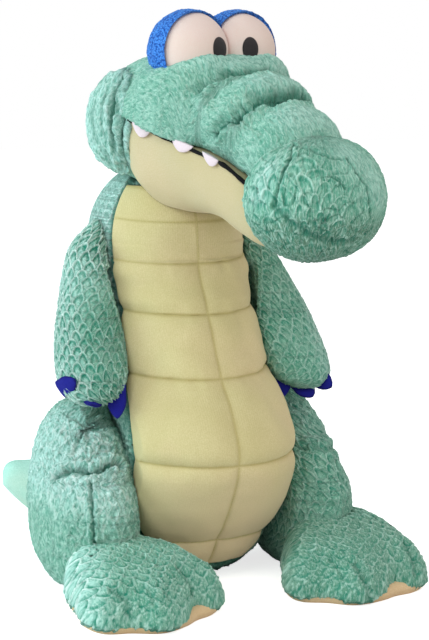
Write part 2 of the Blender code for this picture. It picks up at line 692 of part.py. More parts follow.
def build_teeth(mats, frame):
    """Felt teeth that hang over the lower lip, three on each side."""
    jaw_cut = add_cutter("jaw_skin", swell(jaw_mesh(), GAP), frame)
    upper = add_cutter("upper_lip", prism_mesh(upper_region(), HEAD_HALF_WIDTH * 2), frame)
    for side, tag in ((1, "l"), (-1, "r")):
        for number, share in enumerate(TOOTH_PLACE_SHARES, 1):
            forward = JAW_BACK + JAW_LENGTH * share
            rows = table_rows(JAW_SHARES, HEAD_STEPS)
            width = min(rows, key=lambda row: abs(row[0] - share))[1] * JAW_HALF_WIDTH
            base = Vector((width * side, -forward, mouth_height(forward)))
            rings = []
            for level, wide, thick in TOOTH_SHARES:
                ring = []
                for index in range(TOOTH_AROUND):
                    turn = 2 * math.pi * index / TOOTH_AROUND
                    point = Vector((math.cos(turn) * TOOTH_THICK / 2 * thick,
                                    math.sin(turn) * TOOTH_WIDTH / 2 * wide,
                                    -TOOTH_LENGTH * level))
                    ring.append(base + point)
                rings.append(ring)
            tip = base + Vector((0.0, 0.0, -TOOTH_LENGTH))
            tooth = add_object(f"tooth_{tag}{number}", mesh_from_rings(rings, None, tip), mats["tooth"], frame)
            boolean(tooth, jaw_cut)
            boolean(tooth, upper)


def upper_region():
    shift = -LINING_THICK / 2 - GAP
    line = mouth_line(shift)
    high = HEAD_RISE + HEAD_HALF_HEIGHT * 2
    return [(line[0][0], high)] + line + [(line[-1][0], high)]


def arm_point(share, side):
    """Centre of the arm's section, from the shoulder at 0 to the fingertips at 1."""
    bend = math.sin(share * math.pi / 2) if share > 0 else share
    late = 1 - ARM_BEND_SHARE + ARM_BEND_SHARE * bend
    return Vector((side * (ARM_HALF_WIDTH * ARM_INSET_SHARE + ARM_OUT * share), -ARM_FORWARD * share * late,
                   -ARM_LENGTH * share))


def arm_mesh(side):
    rings = []
    for share, width, depth in table_rows(ARM_SHARES, LIMB_STEPS):
        centre = arm_point(share, side)
        ring = []
        for index in range(LIMB_AROUND):
            turn = 2 * math.pi * index / LIMB_AROUND
            across, forward = super_ring(turn, width * ARM_HALF_WIDTH, depth * ARM_HALF_DEPTH, SUPER_ROUND)
            ring.append(centre + Vector((across, forward, 0.0)))
        rings.append(ring)
    return mesh_from_rings(rings, arm_point(ARM_POLE_SHARES[0], side), arm_point(ARM_POLE_SHARES[1], side))


def build_arm(mats, side, tag):
    frame = add_empty("shoulder_" + tag, (SHOULDER_X * side, SHOULDER_Y, SEAT_TO_DOME - SHOULDER_DROP))
    arm = add_object("arm_" + tag, arm_mesh(side), mats["green"], frame)
    beside = add_cutter("beside_arm_" + tag, swell(torso_mesh(), ARM_PLAY))
    low, high = sorted((0.0, side * ARM_HALF_WIDTH))
    boolean(beside, add_cutter("shoulder_way_" + tag, drum_mesh(SHOULDER_FLAT_R, low, high, TORSO_AROUND, "X"), frame))
    boolean(arm, beside)
    low, high = sorted((-side * SHOULDER_X, 0.0))
    flat = drum_mesh(SHOULDER_FLAT_R + GAP, low, high, TORSO_AROUND, "X")
    boolean(arm, add_cutter("shoulder_flat_" + tag, flat, frame))
    arm_skin = add_cutter("arm_skin_" + tag, swell(arm_mesh(side), GAP), frame)
    for number, (place, ahead, across) in enumerate(CLAW_SHARES[tag], 1):
        claw = add_object(f"claw_{tag}{number}", claw_mesh(side, place, ahead, across), mats["claw"], frame)
        boolean(claw, arm_skin)
    return arm


def claw_mesh(side, place, ahead, across):
    """A flat felt claw that stands out of the seam round the hand."""
    outwards = Matrix.Scale(side, 3, (1.0, 0.0, 0.0))
    ahead, across = (outwards @ Vector(ahead)).normalized(), outwards @ Vector(across)
    across = (across - ahead * across.dot(ahead)).normalized()
    thick = ahead.cross(across)
    sunk = ARM_HALF_WIDTH * CLAW_SUNK_SHARE
    root = arm_point(CLAW_ROOT_SHARE, side) + outwards @ Vector(place) * ARM_HALF_WIDTH - ahead * sunk
    length = CLAW_LENGTH + sunk
    rings = []
    for level, width in CLAW_TAPER_SHARES:
        ring = []
        for index in range(CLAW_AROUND):
            turn = 2 * math.pi * index / CLAW_AROUND
            ring.append(root + ahead * length * level + across * math.cos(turn) * CLAW_HALF_WIDTH * width
                        + thick * math.sin(turn) * CLAW_HALF_THICK * width)
        rings.append(ring)
    return mesh_from_rings(rings, None, root + ahead * length)


def thigh_mesh(side):
    rings = []
    for share, width, front, back, outward in table_rows(THIGH_SHARES, LIMB_STEPS):
        ring = []
        for index in range(THIGH_AROUND):
            turn = 2 * math.pi * index / THIGH_AROUND
            half_depth, middle = (back - front) / 2 * THIGH_HALF_DEPTH, (back + front) / 2 * THIGH_HALF_DEPTH
            across, behind = super_ring(turn, width * THIGH_HALF_WIDTH, half_depth, SUPER_ROUND)
            outwards = side * THIGH_HALF_WIDTH * (THIGH_OUT_SHARE + outward)
            ring.append(Vector((across + outwards, middle + behind, THIGH_HEIGHT * share)))
        rings.append(ring)
    end = sum(rings[-1], Vector()) / THIGH_AROUND
    end.z = THIGH_HEIGHT
    return mesh_from_rings(rings, None, end)


def foot_ring(column, scale, lift, turned):
    """The foot's outline at a height; column 1 is the upper's and 2 the sole's."""
    ring = []
    first, last = FOOT_SHARES[0][0], FOOT_SHARES[-1][0]
    for index in range(FOOT_AROUND):
        degrees = first + (last - first) * index / FOOT_AROUND
        row = 0
        while FOOT_SHARES[row + 1][0] <= degrees:
            row += 1
        part = (degrees - FOOT_SHARES[row][0]) / (FOOT_SHARES[row + 1][0] - FOOT_SHARES[row][0])
        reach = spline(FOOT_SHARES, row + part)[column] * FOOT_REACH * scale
        turn = math.radians(degrees) + turned
        ring.append(Vector((math.sin(turn) * reach, -math.cos(turn) * reach, lift)))
    return ring


def foot_mesh(turned):
    """A dome over the toes' outline, high at the ankle and lower at the toes."""
    rings = []
    for scale, height in FOOT_RISE_SHARES:
        ring = foot_ring(1, scale, 0.0, turned)
        rings.append([Vector((point.x, point.y, foot_top(point, height))) for point in ring])
    return mesh_from_rings(rings, None, Vector((0.0, 0.0, foot_top(Vector(), 1.0))))


def foot_top(point, height):
    """Height of the upper's skin; below the rim it runs under the floor and is cut."""
    if height < 0:
        return -OVERRUN
    ahead = min(point.length / FOOT_REACH, 1.0)
    return FOOT_RIM + height * FOOT_HEIGHT * (1 - FOOT_TOE_FALL_SHARE * ahead ** 2)


def sole_mesh(turned):
    """The cream sole: flat below, crowned above, less deeply notched than the toes."""
    rings = []
    for scale, crown in SOLE_RISE_SHARES:
        lift = SOLE_EDGE + SOLE_CROWN * crown if crown > 0 else -FLAT_DEPTH
        rings.append(foot_ring(2, scale, lift, turned))
    return mesh_from_rings(rings, None, Vector((0.0, 0.0, SOLE_EDGE + SOLE_CROWN)))


def build_leg(mats, side, tag, floor):
    hip = add_empty("hip_" + tag, (HIP_X * side, HIP_Y, HIP_Z))
    thigh_bm = thigh_mesh(side)
    bmesh.ops.translate(thigh_bm, vec=(0.0, 0.0, -HIP_Z), verts=thigh_bm.verts)
    thigh = add_object("thigh_" + tag, thigh_bm, mats["green"], hip)
    low, high = sorted((GAP * side, -side * THIGH_HALF_WIDTH * 2))
    inside = box_mesh((low, -THIGH_HALF_DEPTH * 2, -THIGH_HEIGHT), (high, THIGH_HALF_DEPTH * 2, THIGH_HEIGHT))
    boolean(thigh, add_cutter("thigh_inside_" + tag, inside, hip))
    boolean(thigh, floor)

    place = 0 if side > 0 else 1
    ankle = Vector((FOOT_X[place] - HIP_X * side, FOOT_Y - HIP_Y, -HIP_Z))
    turned = FOOT_TURN[place]
    pieces = []
    for bm in (foot_mesh(turned), sole_mesh(turned), swell(sole_mesh(turned), GAP), swell(thigh_mesh(side), GAP)):
        pieces.append(bm)
    foot_bm, sole_bm, sole_skin, skin = pieces
    for bm in (foot_bm, sole_bm, sole_skin):
        bmesh.ops.translate(bm, vec=ankle, verts=bm.verts)
    bmesh.ops.translate(skin, vec=(0.0, 0.0, -HIP_Z), verts=skin.verts)
    foot = add_object("foot_" + tag, foot_bm, mats["green"], hip)
    sole = add_object("sole_" + tag, sole_bm, mats["sole"], hip)
    thigh_skin = add_cutter("thigh_skin_" + tag, skin, hip)
    boolean(foot, thigh_skin)
    boolean(foot, add_cutter("sole_skin_" + tag, sole_skin, hip))
    boolean(foot, floor)
    boolean(sole, thigh_skin)
    boolean(sole, floor)
    return thigh, foot, sole


def tail_mesh():
    """A round root on the wag axis, and a tail that curls to the crocodile's right."""
    rings = []
    half_height = TAIL_HEIGHT / 2
    for step in range(1, BALL_STEPS // 2):
        angle = math.pi / 2 * step / (BALL_STEPS // 2)
        rings.append(tail_ring(Vector((math.sin(TAIL_HEADING), -math.cos(TAIL_HEADING), 0.0)) * TAIL_ROOT_R
                               * math.cos(angle), TAIL_HEADING, math.sin(angle), math.sin(angle), half_height))
    place, steps = Vector((0.0, 0.0, 0.0)), LIMB_STEPS * 2
    rows = table_rows(TAIL_SHARES, steps)
    for index, (share, width, height) in enumerate(rows):
        heading = TAIL_HEADING + TAIL_CURL * share
        if index:
            step = TAIL_LENGTH * (share - rows[index - 1][0])
            place = place + Vector((-math.sin(heading), math.cos(heading), 0.0)) * step
        if index % 2 == 0:
            middle = height * half_height + TAIL_TIP_RISE * share ** 2
            rings.append(tail_ring(place, heading, width, height, middle))
    front = Vector((math.sin(TAIL_HEADING), -math.cos(TAIL_HEADING), 0.0)) * TAIL_ROOT_R
    front.z = half_height - FLAT_DEPTH
    return mesh_from_rings(rings, front, sum(rings[-1], Vector()) / len(rings[-1]))


def tail_ring(place, heading, width, height, middle):
    across = Vector((math.cos(heading), math.sin(heading), 0.0))
    ring = []
    for index in range(TAIL_AROUND):
        turn = 2 * math.pi * index / TAIL_AROUND
        side, lift = super_ring(turn, width * TAIL_ROOT_R, height * TAIL_HEIGHT / 2, SUPER_ROUND)
        ring.append(place + across * side + Vector((0.0, 0.0, middle - FLAT_DEPTH + lift)))
    return ring


def build_tail(mats, floor):
    frame = add_empty("tail_root", (0.0, TAIL_PIVOT_Y, 0.0))
    tail = add_object("tail", tail_mesh(), mats["green"], frame)
    boolean(tail, floor)
    return tail


def build_part():
    clear_scene()
    mats = {
        "green": material("plush_green", (0.22, 0.55, 0.45), 0.9),
        "cream": material("belly_cream", (0.79, 0.76, 0.48), 0.9),
        "jaw": material("jaw_cream", (0.80, 0.72, 0.52), 0.9),
        "sole": material("sole_cream", (0.75, 0.58, 0.38), 0.9),
        "white": material("eye_white", (0.87, 0.72, 0.68), 0.8),
        "blue": material("lid_blue", (0.02, 0.12, 0.68), 0.9),
        "black": material("pupil_black", (0.02, 0.015, 0.017), 0.5),
        "tooth": material("tooth_felt", (0.86, 0.77, 0.79), 0.9),
        "claw": material("claw_felt", (0.015, 0.015, 0.36), 0.9),
        "lining": material("mouth_black", (0.01, 0.01, 0.012), 0.9),
    }
    reach = SEAT_TO_DOME * 2
    floor = add_cutter("floor", box_mesh((-reach, -reach, -TORSO_BACK), (reach, reach, 0.0)))
    build_torso(mats)
    build_neck(mats)
    head_frame = add_empty("head_frame", (0.0, NECK_Y, SEAT_TO_DOME), HEAD_TURN)
    build_head(mats, head_frame)
    for side, tag in ((1, "l"), (-1, "r")):
        build_arm(mats, side, tag)
        build_leg(mats, side, tag, floor)
    build_tail(mats, floor)
    bpy.context.view_layer.update()


build_part()
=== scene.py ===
"""Plush crocodile: the cloth, pile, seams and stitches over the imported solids.

Metres, +Z up. The crocodile faces -Y and its own left side is +X. Each stuffed
piece is a fine grid of points that is shaped, pressed against its neighbours and
embossed in code, and then replaces the plain solid of the same name.
"""
import itertools
import math

import bpy
import numpy as np
from bpy.props import FloatProperty, FloatVectorProperty, PointerProperty
from mathutils import Matrix, Vector
from mathutils.bvhtree import BVHTree


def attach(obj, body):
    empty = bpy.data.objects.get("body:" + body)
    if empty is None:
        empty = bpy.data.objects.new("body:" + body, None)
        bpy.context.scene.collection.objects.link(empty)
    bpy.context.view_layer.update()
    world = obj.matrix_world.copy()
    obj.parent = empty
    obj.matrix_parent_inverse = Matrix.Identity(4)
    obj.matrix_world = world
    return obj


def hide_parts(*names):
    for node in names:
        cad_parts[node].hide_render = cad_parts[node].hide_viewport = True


bl_info = {
    "name": "Plush Crocodile",
    "version": (1, 0, 0),
    "blender": (4, 5, 0),
    "location": "View3D > Sidebar > Crocodile",
    "description": "Builds the cloth pieces of a seated plush crocodile",
    "category": "Add Mesh",
}

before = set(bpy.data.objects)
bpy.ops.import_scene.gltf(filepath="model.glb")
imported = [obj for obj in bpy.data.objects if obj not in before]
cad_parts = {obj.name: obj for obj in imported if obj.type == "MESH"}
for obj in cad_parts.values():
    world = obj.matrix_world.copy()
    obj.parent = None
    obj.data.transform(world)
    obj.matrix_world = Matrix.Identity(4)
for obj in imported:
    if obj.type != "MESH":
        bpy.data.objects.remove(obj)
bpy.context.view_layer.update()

MM = 0.001
PHOTO_WIDTH, PHOTO_HEIGHT = 429, 640

# Where the head turns, and how far it is turned to the crocodile's left.
NECK = np.array((0.0, 39.0, 272.0)) * MM
HEAD_TURN = math.radians(12)
DOME_R = 64 * MM
SEAT_TO_DOME = 272 * MM
SHOULDER = np.array((61.0, 25.0, 266.0)) * MM
HIP = np.array((67.0, -10.0, 66.0)) * MM

# The photograph's camera.
CAMERA_AZIMUTH, CAMERA_RISE = math.radians(-25), math.radians(8)
CAMERA_DISTANCE = 1.6
CAMERA_PIXELS = 2000.0      # focal length in the photograph's pixels
CAMERA_TARGET = np.array((10.5, -35.0, 210.0)) * MM


def linear(code):
    """An sRGB hex colour as linear red, green and blue."""
    values = [int(code[place:place + 2], 16) / 255 for place in (1, 3, 5)]
    return [v / 12.92 if v <= 0.04045 else ((v + 0.055) / 1.055) ** 2.4 for v in values]


def colour_property(name, code, words):
    return FloatVectorProperty(name=name, description=words, subtype="COLOR", default=linear(code), min=0, max=1)


def length_property(name, value, words):
    return FloatProperty(name=name, description=words, unit="LENGTH", default=value, min=0, precision=5)


class CrocodileColours(bpy.types.PropertyGroup):
    """Colours of the cloths, threads and felts."""
    mint: colour_property("Mint", "#7ab9a0", "Middle colour of the embossed plush")
    mint_tip: colour_property("Mint tips", "#c6e9dc", "Pile tips along the edge of each scale")
    # The deep mint is the painted shade in the scales' grooves and hollows, and the darker tufts and patches of the
    # pile.
    mint_deep_and_shade: colour_property("Mint grooves", "#278a72", "Bottom of the pile, in grooves and tucks")
    belly: colour_property("Belly", "#d3c899", "Velour of the belly panel")
    jaw: colour_property("Jaw", "#c8bb9b", "Velour of the lower jaw")
    sole: colour_property("Sole", "#dcc39c", "Velour of the soles")
    tail: colour_property("Tail", "#bfeade", "Smooth velour of the tail")
    eye: colour_property("Eyeball", "#dccdc6", "Velour of the eyeballs")
    lid: colour_property("Eyelid", "#2366bf", "Terry of the eyelids")
    pupil: colour_property("Pupil", "#1d1719", "Satin stitch of the pupils")
    tooth: colour_property("Tooth", "#dfccd3", "Felt of the teeth")
    claw: colour_property("Claw", "#181a7c", "Felt of the claws")
    mouth: colour_property("Mouth", "#0d0c0e", "Felt strip between the lips")
    thread: colour_property("Thread", "#b9ad74", "Topstitching of the belly")


class CrocodileCloth(bpy.types.PropertyGroup):
    """Sizes of the pile, scales and stitches."""
    scale_width: length_property("Scale width", 9.6 * MM, "Width of an embossed scale")
    scale_pitch: length_property("Scale pitch", 7.4 * MM, "Distance from one row of scales to the next")
    emboss: length_property("Emboss depth", 1.1 * MM, "How far a scale stands up from its groove")
    pile: length_property("Pile", 0.50 * MM, "Height of the tufts in the pile")
    tuft: length_property("Tuft", 2.5 * MM, "Width of a tuft")
    stitch_pitch: length_property("Stitch pitch", 2.9 * MM, "From one stitch of the belly to the next")
    thread_width: length_property("Thread", 0.55 * MM, "Width of the topstitching thread")


class CrocodileSizes(bpy.types.PropertyGroup):
    """Sizes of the stuffed pieces that a user would change."""
    torso_half_width: length_property("Torso half width", 75 * MM, "At the belly")
    torso_front: length_property("Belly reach", 101 * MM, "Belly in front of the seat's middle")
    torso_back: length_property("Back reach", 102 * MM, "Back behind the seat's middle")
    belly_puff: length_property("Belly puff", 5.5 * MM, "Crown of each sewn field")
    head_half_width: length_property("Head half width", 63 * MM, "Across the mouth's corners")
    head_half_height: length_property("Head half height", 56 * MM, "At the eyes")
    roll_puff: length_property("Snout roll", 5.0 * MM, "How far the snout's rolls stand over their tucks")
    eye_radius: length_property("Eye", 31 * MM, "Radius of an eyeball")
    lid_thickness: length_property("Eyelid", 2.0 * MM, "Thickness of the terry lids")
    arm_length: length_property("Arm", 117 * MM, "Shoulder to fingertips")
    thigh_height: length_property("Thigh", 144 * MM, "Floor to the top of the thigh")
    foot_reach: length_property("Foot", 108 * MM, "Ankle to the tip of a toe")
    foot_height: length_property("Foot height", 51 * MM, "At the ankle")
    tail_length: length_property("Tail", 124 * MM, "Root to tip")


# Small tools for grids of points.

def smooth_rows(table, count):
    """A share table read at even steps through a smooth curve."""
    rows = np.array(table, float)
    place = np.linspace(0, len(rows) - 1, count)
    index = np.clip(place.astype(int), 0, len(rows) - 2)
    part = (place - index)[:, None]
    before, start = rows[np.maximum(index - 1, 0)], rows[index]
    end, after = rows[index + 1], rows[np.minimum(index + 2, len(rows) - 1)]
    return 0.5 * (2 * start + (end - before) * part + (2 * before - 5 * start + 4 * end - after) * part ** 2
                  + (3 * start - before - 3 * end + after) * part ** 3)


def even_rows(table, count, reach):
    """smooth_rows, spread so that steps of the column reach(rows) are even."""
    fine = smooth_rows(table, count * 12)
    way = np.concatenate([[0], np.cumsum(np.linalg.norm(np.diff(reach(fine), axis=0), axis=1))])
    wanted = np.linspace(0, way[-1], count)
    return np.stack([np.interp(wanted, way, column) for column in fine.T], axis=1)


def soft_step(value, low, high):
    part = np.clip((value - low) / (high - low), 0, 1)
    return part * part * (3 - 2 * part)


def bell(value, width):
    """1 where the value is 0, and falling off on both sides over the width."""
    return np.exp(-(value / width) ** 2)


def full_turn(columns):
    """Even turns all the way round a piece, as one row."""
    return np.linspace(0, 2 * math.pi, columns, endpoint=False)[None, :]


def cloudy(points, size, seed=0):
    """Smooth random values from -1 to 1 that change over a distance of size."""
    cell = np.asarray(points) / size
    low = np.floor(cell).astype(np.int64)
    part = cell - low
    part = part * part * (3 - 2 * part)
    total = np.zeros(cell.shape[:-1])
    for corner in itertools.product((0, 1), repeat=3):
        at = low + corner
        key = (at[..., 0] * 73856093) ^ (at[..., 1] * 19349663) ^ (at[..., 2] * 83492791) ^ (seed * 2654435)
        key = (key ^ (key >> 13)) * 1274126177
        value = ((key ^ (key >> 16)) & 0xFFFF) / 0xFFFF
        weight = np.prod(np.where(corner, part, 1 - part), axis=-1)
        total += value * weight
    return total * 2 - 1


def ring_of(turn, half_u, half_v, power):
    """Points of rings that are round at power 2 and fuller above it."""
    cosine, sine = np.cos(turn), np.sin(turn)
    along_u = np.sign(cosine) * np.abs(cosine) ** (2 / power) * half_u
    along_v = np.sign(sine) * np.abs(sine) ** (2 / power) * half_v
    return along_u, along_v


def grid_faces(rows, columns):
    """A closed grid's point numbers, those of the next column round, and its four-cornered faces."""
    index = np.arange(rows * columns).reshape(rows, columns)
    after = np.roll(index, -1, axis=1)
    return index, after, np.stack([index[:-1], after[:-1], after[1:], index[1:]], axis=-1)


def spin(turn):
    """The rotation about the vertical by turn."""
    cosine, sine = math.cos(turn), math.sin(turn)
    return np.array(((cosine, -sine, 0), (sine, cosine, 0), (0, 0, 1)))


class Skin:
    """A closed grid of points: rows along a piece, columns round it, the cloth's own measures, and the shade,
    highlights and light painted on it.
    """

    def __init__(self, points, front=0.5):
        self.at = np.array(points, float)
        # Painted shade in folds, seams and creases; painted highlights along the scales' rims; painted shade in the
        # scales' grooves and under their tips; painted light above 0 and painted shade below 0, by how the light falls
        # on each side.
        self.painted_shade = np.zeros(self.at.shape[:2])
        self.rim = np.zeros(self.at.shape[:2])
        self.groove = np.zeros(self.at.shape[:2])
        self.painted_light_and_shade = np.zeros(self.at.shape[:2])
        self.front = front
        self.flat = None

    def measure(self):
        """Distance round from the front line and along the rows, in metres, as flat cloth has them."""
        if self.flat is not None:
            self.across, self.along = self.flat
            return
        step = np.linalg.norm(np.diff(self.at, axis=1), axis=2)
        across = np.concatenate([np.zeros((len(step), 1)), np.cumsum(step, axis=1)], axis=1)
        middle = int(self.front * (self.at.shape[1] - 1))
        self.across = across - across[:, middle:middle + 1]
        column = self.at[:, middle]
        side = self.at[:, (middle + self.at.shape[1] // 4) % self.at.shape[1]]
        step = (np.linalg.norm(np.diff(column, axis=0), axis=1) + np.linalg.norm(np.diff(side, axis=0), axis=1)) / 2
        self.along = np.repeat(np.concatenate([[0], np.cumsum(step)])[:, None], self.at.shape[1], axis=1)

    def normals(self):
        round_step = np.roll(self.at, -1, axis=1) - np.roll(self.at, 1, axis=1)
        way_step = np.gradient(self.at, axis=0)
        normal = np.cross(round_step, way_step)
        length = np.linalg.norm(normal, axis=2, keepdims=True)
        normal = normal / np.maximum(length, 1e-12)
        middle = self.at.mean(axis=1, keepdims=True)
        if np.sum(normal * (self.at - middle)) < 0:
            normal = -normal
        return normal

    def push(self, height):
        self.at += self.normals() * np.asarray(height)[..., None]

    def darken(self, value):
        """Paints shade into the pile, as in the hollow of a fold, where it isn't painted darker already."""
        self.painted_shade = np.maximum(self.painted_shade, value)

    def paint_highlight(self, value):
        """Paints a highlight, the pale pile tips that catch the light as along a scale's rim, where none is painted
        already.
        """
        self.rim = np.maximum(self.rim, value)

    def near(self, path):
        """Distance from every point to a path, how far along it the nearest place is, and on which side (1 is left)."""
        shape = self.at.shape[:2]
        best, along = np.full(shape, 1e9), np.zeros(shape)
        offset, tangent = np.zeros(self.at.shape), np.zeros(self.at.shape)
        so_far = 0.0
        for start, end in zip(path, path[1:]):
            way = np.asarray(end) - np.asarray(start)
            length = np.linalg.norm(way)
            if length < 1e-7:
                continue
            part = np.clip(((self.at - start) @ way) / length ** 2, 0, 1)
            off = self.at - start - part[..., None] * way
            gap = np.linalg.norm(off, axis=2)
            closer = gap < best
            best, along = np.where(closer, gap, best), np.where(closer, so_far + part * length, along)
            offset = np.where(closer[..., None], off, offset)
            tangent = np.where(closer[..., None], way / length, tangent)
            so_far += length
        side = np.sign(np.einsum("ijk,ijk->ij", np.cross(tangent, offset), self.normals()))
        return best, along, side

    def tuck_in(self, path, depth, width, shade=1.0, puff=0.3, gather=0.0, over=0.0, pitch=4.5 * MM, reach=9 * MM):
        """Draws a seam or fold in along a path.

        The cloth rises a little beside it, gathers run across it, and with over the cloth on one side
        of the path laps over the other. Painted shade darkens the groove, as strong as shade.
        """
        if len(path) < 2:
            return
        gap, along, side = self.near(path)
        wide = width * np.where(side > 0, 1 + 1.8 * over, 1 - 0.4 * over)
        groove = np.exp(-(gap / wide) ** 2)
        beside = np.exp(-((gap - 2.2 * width) / (1.3 * width)) ** 2) * np.where(side > 0, 1 - over, 1 + over)
        lift = depth * (puff * beside - groove)
        if gather:
            across = np.stack([along, gap * side * 0.22, 0 * gap], axis=-1)
            lift += gather * cloudy(across, pitch, 7) * np.exp(-(gap / reach) ** 2)
        self.push(lift)
        self.darken(shade * np.exp(-(gap / (0.9 * width)) ** 2))

    def emboss(self, cloth, strength=1.0, up=1, seed=1, rough=0.12, width=None, fade=None, point=0.6):
        """Presses rows of tongue-shaped scales into the pile, each with a thin raised rim, painted highlight and
        painted shade; up is where tips point.
        """
        self.measure()
        wide = width or cloth.scale_width
        tall = cloth.scale_pitch * wide / cloth.scale_width
        sway = cloudy(self.at, 2.6 * wide, seed) * rough * wide
        drift = cloudy(self.at, 2.2 * wide, seed + 7) * rough * wide
        x, y = (self.across + sway) / wide, up * (self.along + drift) / tall
        row = np.floor(y) + 1
        chosen = np.full(x.shape, np.nan)
        tip, lean = np.zeros(x.shape), np.zeros(x.shape)
        for back in (3, 2, 1, 0, -1):
            number = row - back
            edge = number + scale_edge(x, number, seed, point)
            here = np.isnan(chosen) & (y < edge)
            slope = (scale_edge(x + 0.02, number, seed, point) - scale_edge(x - 0.02, number, seed, point)) / 0.04
            chosen, tip = np.where(here, number, chosen), np.where(here, edge - y, tip)
            lean = np.where(here, slope, lean)
        root = (y - (chosen - 1 + scale_edge(x, chosen - 1, seed, point))) * tall
        inside = tip * tall / np.sqrt(1 + np.clip(lean * tall / wide, -5, 5) ** 2)
        patch = 0.70 + 0.30 * cloudy(self.at, 4 * wide, seed + 3)
        power = patch * strength * (1 if fade is None else fade)
        rim = soft_step(inside, 0.0, 0.35 * MM) * (1 - soft_step(inside, 0.9 * MM, 1.7 * MM))
        hollow = soft_step(inside, 1.0 * MM, 2.2 * MM) * (1 - soft_step(inside, 2.8 * MM, 7.0 * MM))
        shadow = 1 - soft_step(root, 0.0, 1.0 * MM)
        broken = 0.45 + 0.55 * soft_step(cloudy(self.at, 0.8 * wide, seed + 11), -0.45, 0.35)
        # Painted highlight along each rim; painted shade in the hollow under it and a painted shadow under the tip of
        # the row before.
        self.paint_highlight(power * rim * broken)
        self.groove = np.maximum(self.groove, power * np.maximum(0.95 * hollow, 0.6 * shadow))
        self.push(cloth.emboss * power * (0.75 * rim - 0.55 * hollow - 0.35 * shadow))

    def nap(self, cloth, strength=1.0, seed=5):
        """Tufts of pile, finer and coarser, so that the outline isn't hard."""
        self.measure()
        lay = np.stack([self.across, self.along * 0.5, self.at[..., 2] * 0.2], axis=-1)
        height = cloudy(lay, cloth.tuft, seed) + 0.7 * cloudy(lay, cloth.tuft * 0.55, seed + 1)
        self.push(cloth.pile * strength * height)

    def place(self, origin, turn=0.0):
        self.at = self.at @ spin(turn).T + np.asarray(origin)
        return self


def scale_edge(x, number, seed, point):
    """How far a scale of this row reaches along the cloth at x, in rows: a tongue, and more or less pointed."""
    chance = np.sin(number * 3.7 + seed) * 43758.5453
    place = x + np.where(np.mod(number, 2) == 0, 0.5, 1.0) + 0.22 * (chance - np.floor(chance))
    cell = np.floor(place)
    chance = np.sin(cell * 12.9898 + number * 78.233 + seed) * 43758.5453
    chance = chance - np.floor(chance)
    sharp = point * chance
    arch = np.clip(1 - np.abs(2 * (place - cell) - 1) ** (2.5 - 1.3 * sharp), 0, 1) ** (0.5 + 0.35 * sharp)
    return (0.95 + 0.5 * chance) * arch


def veins(points, size, seed, width=0.12):
    """Thin wandering lines, 1 on a line and 0 away from it."""
    return 1 - soft_step(np.abs(cloudy(points, size, seed)), 0.0, width)


def build_skin(name, skin, material, body, node, ends=(None, None)):
    """Turns a skin into a mesh with its cloth measures and the shade and light painted on it, lets it ride, and
    replaces the CAD node.
    """
    rows, columns = skin.at.shape[:2]
    points = skin.at.reshape(-1, 3)
    index, after, faces = grid_faces(rows, columns)
    faces = faces.reshape(-1, 4).tolist()
    extra = []
    for row, end, flip in ((0, ends[0], True), (rows - 1, ends[1], False)):
        middle = skin.at[row].mean(axis=0) if end is None else np.asarray(end)
        extra.append(middle)
        pole = rows * columns + len(extra) - 1
        for column in range(columns):
            first, second = int(index[row, column]), int(after[row, column])
            faces.append([second, first, pole] if flip else [first, second, pole])
    points = np.concatenate([points, np.array(extra)])
    mesh = bpy.data.meshes.new(name)
    mesh.from_pydata(points.tolist(), [], faces)
    mesh.update()
    write_measures(mesh, skin, len(extra))
    bake_map(mesh, rows, columns)
    thing = finish_piece(name, mesh, material, body)
    if node:
        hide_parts(*([node] if isinstance(node, str) else node))
    return thing


def write_measures(mesh, skin, extra=0):
    """Stores on the mesh the cloth's own measures and the shade, highlights and light painted on it; the mesh has some
    extra points beyond the grid.
    """
    skin.measure()
    for key, grid in (("painted_shade", skin.painted_shade), ("rim", skin.rim), ("groove", skin.groove), ("painted_light_and_shade", skin.painted_light_and_shade)):
        flat = np.concatenate([grid.ravel(), np.full(extra, float(grid.mean()))])
        mesh.attributes.new(key, "FLOAT", "POINT").data.foreach_set("value", flat.astype(np.float32))
    lay = np.stack([skin.across, skin.along, np.zeros_like(skin.along)], axis=-1).reshape(-1, 3)
    lay = np.concatenate([lay, np.zeros((extra, 3))])
    mesh.attributes.new("lay", "FLOAT_VECTOR", "POINT").data.foreach_set("vector", lay.astype(np.float32).ravel())


def bake_map(mesh, rows, columns):
    """A UV map for baking: the grid itself, with the closing faces in the strips above and below it."""
    corners = np.zeros(len(mesh.loops), int)
    mesh.loops.foreach_get("vertex_index", corners)
    sizes = np.zeros(len(mesh.polygons), int)
    mesh.polygons.foreach_get("loop_total", sizes)
    face = np.repeat(np.arange(len(sizes)), sizes)
    grid = (rows - 1) * columns
    on_grid = face < grid
    face_column = np.where(on_grid, face % columns, (face - grid) % columns)
    pole = corners >= rows * columns
    row, column = corners // columns, corners % columns
    column = np.where((face_column == columns - 1) & (column == 0), columns, column)
    column = np.where(pole, face_column + 0.5, column)
    high = np.where(pole, (corners - rows * columns > 0) * 1.0, 0.02 + 0.96 * row / (rows - 1))
    low_end = pole & (face < grid + columns)
    high = np.where(low_end, 0.0, np.where(pole, 1.0, high))
    layer = mesh.uv_layers.new(name="OFBake")
    layer.data.foreach_set("uv", np.stack([column / columns, high], axis=-1).astype(np.float32).ravel())


def finish_piece(name, mesh, material, body):
    """Face directions, smooth shading, material and the body that the piece rides on."""
    face_out(mesh)
    mesh.shade_smooth()
    mesh.materials.append(material)
    thing = bpy.data.objects.new(name, mesh)
    bpy.context.scene.collection.objects.link(thing)
    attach(thing, body)
    return thing


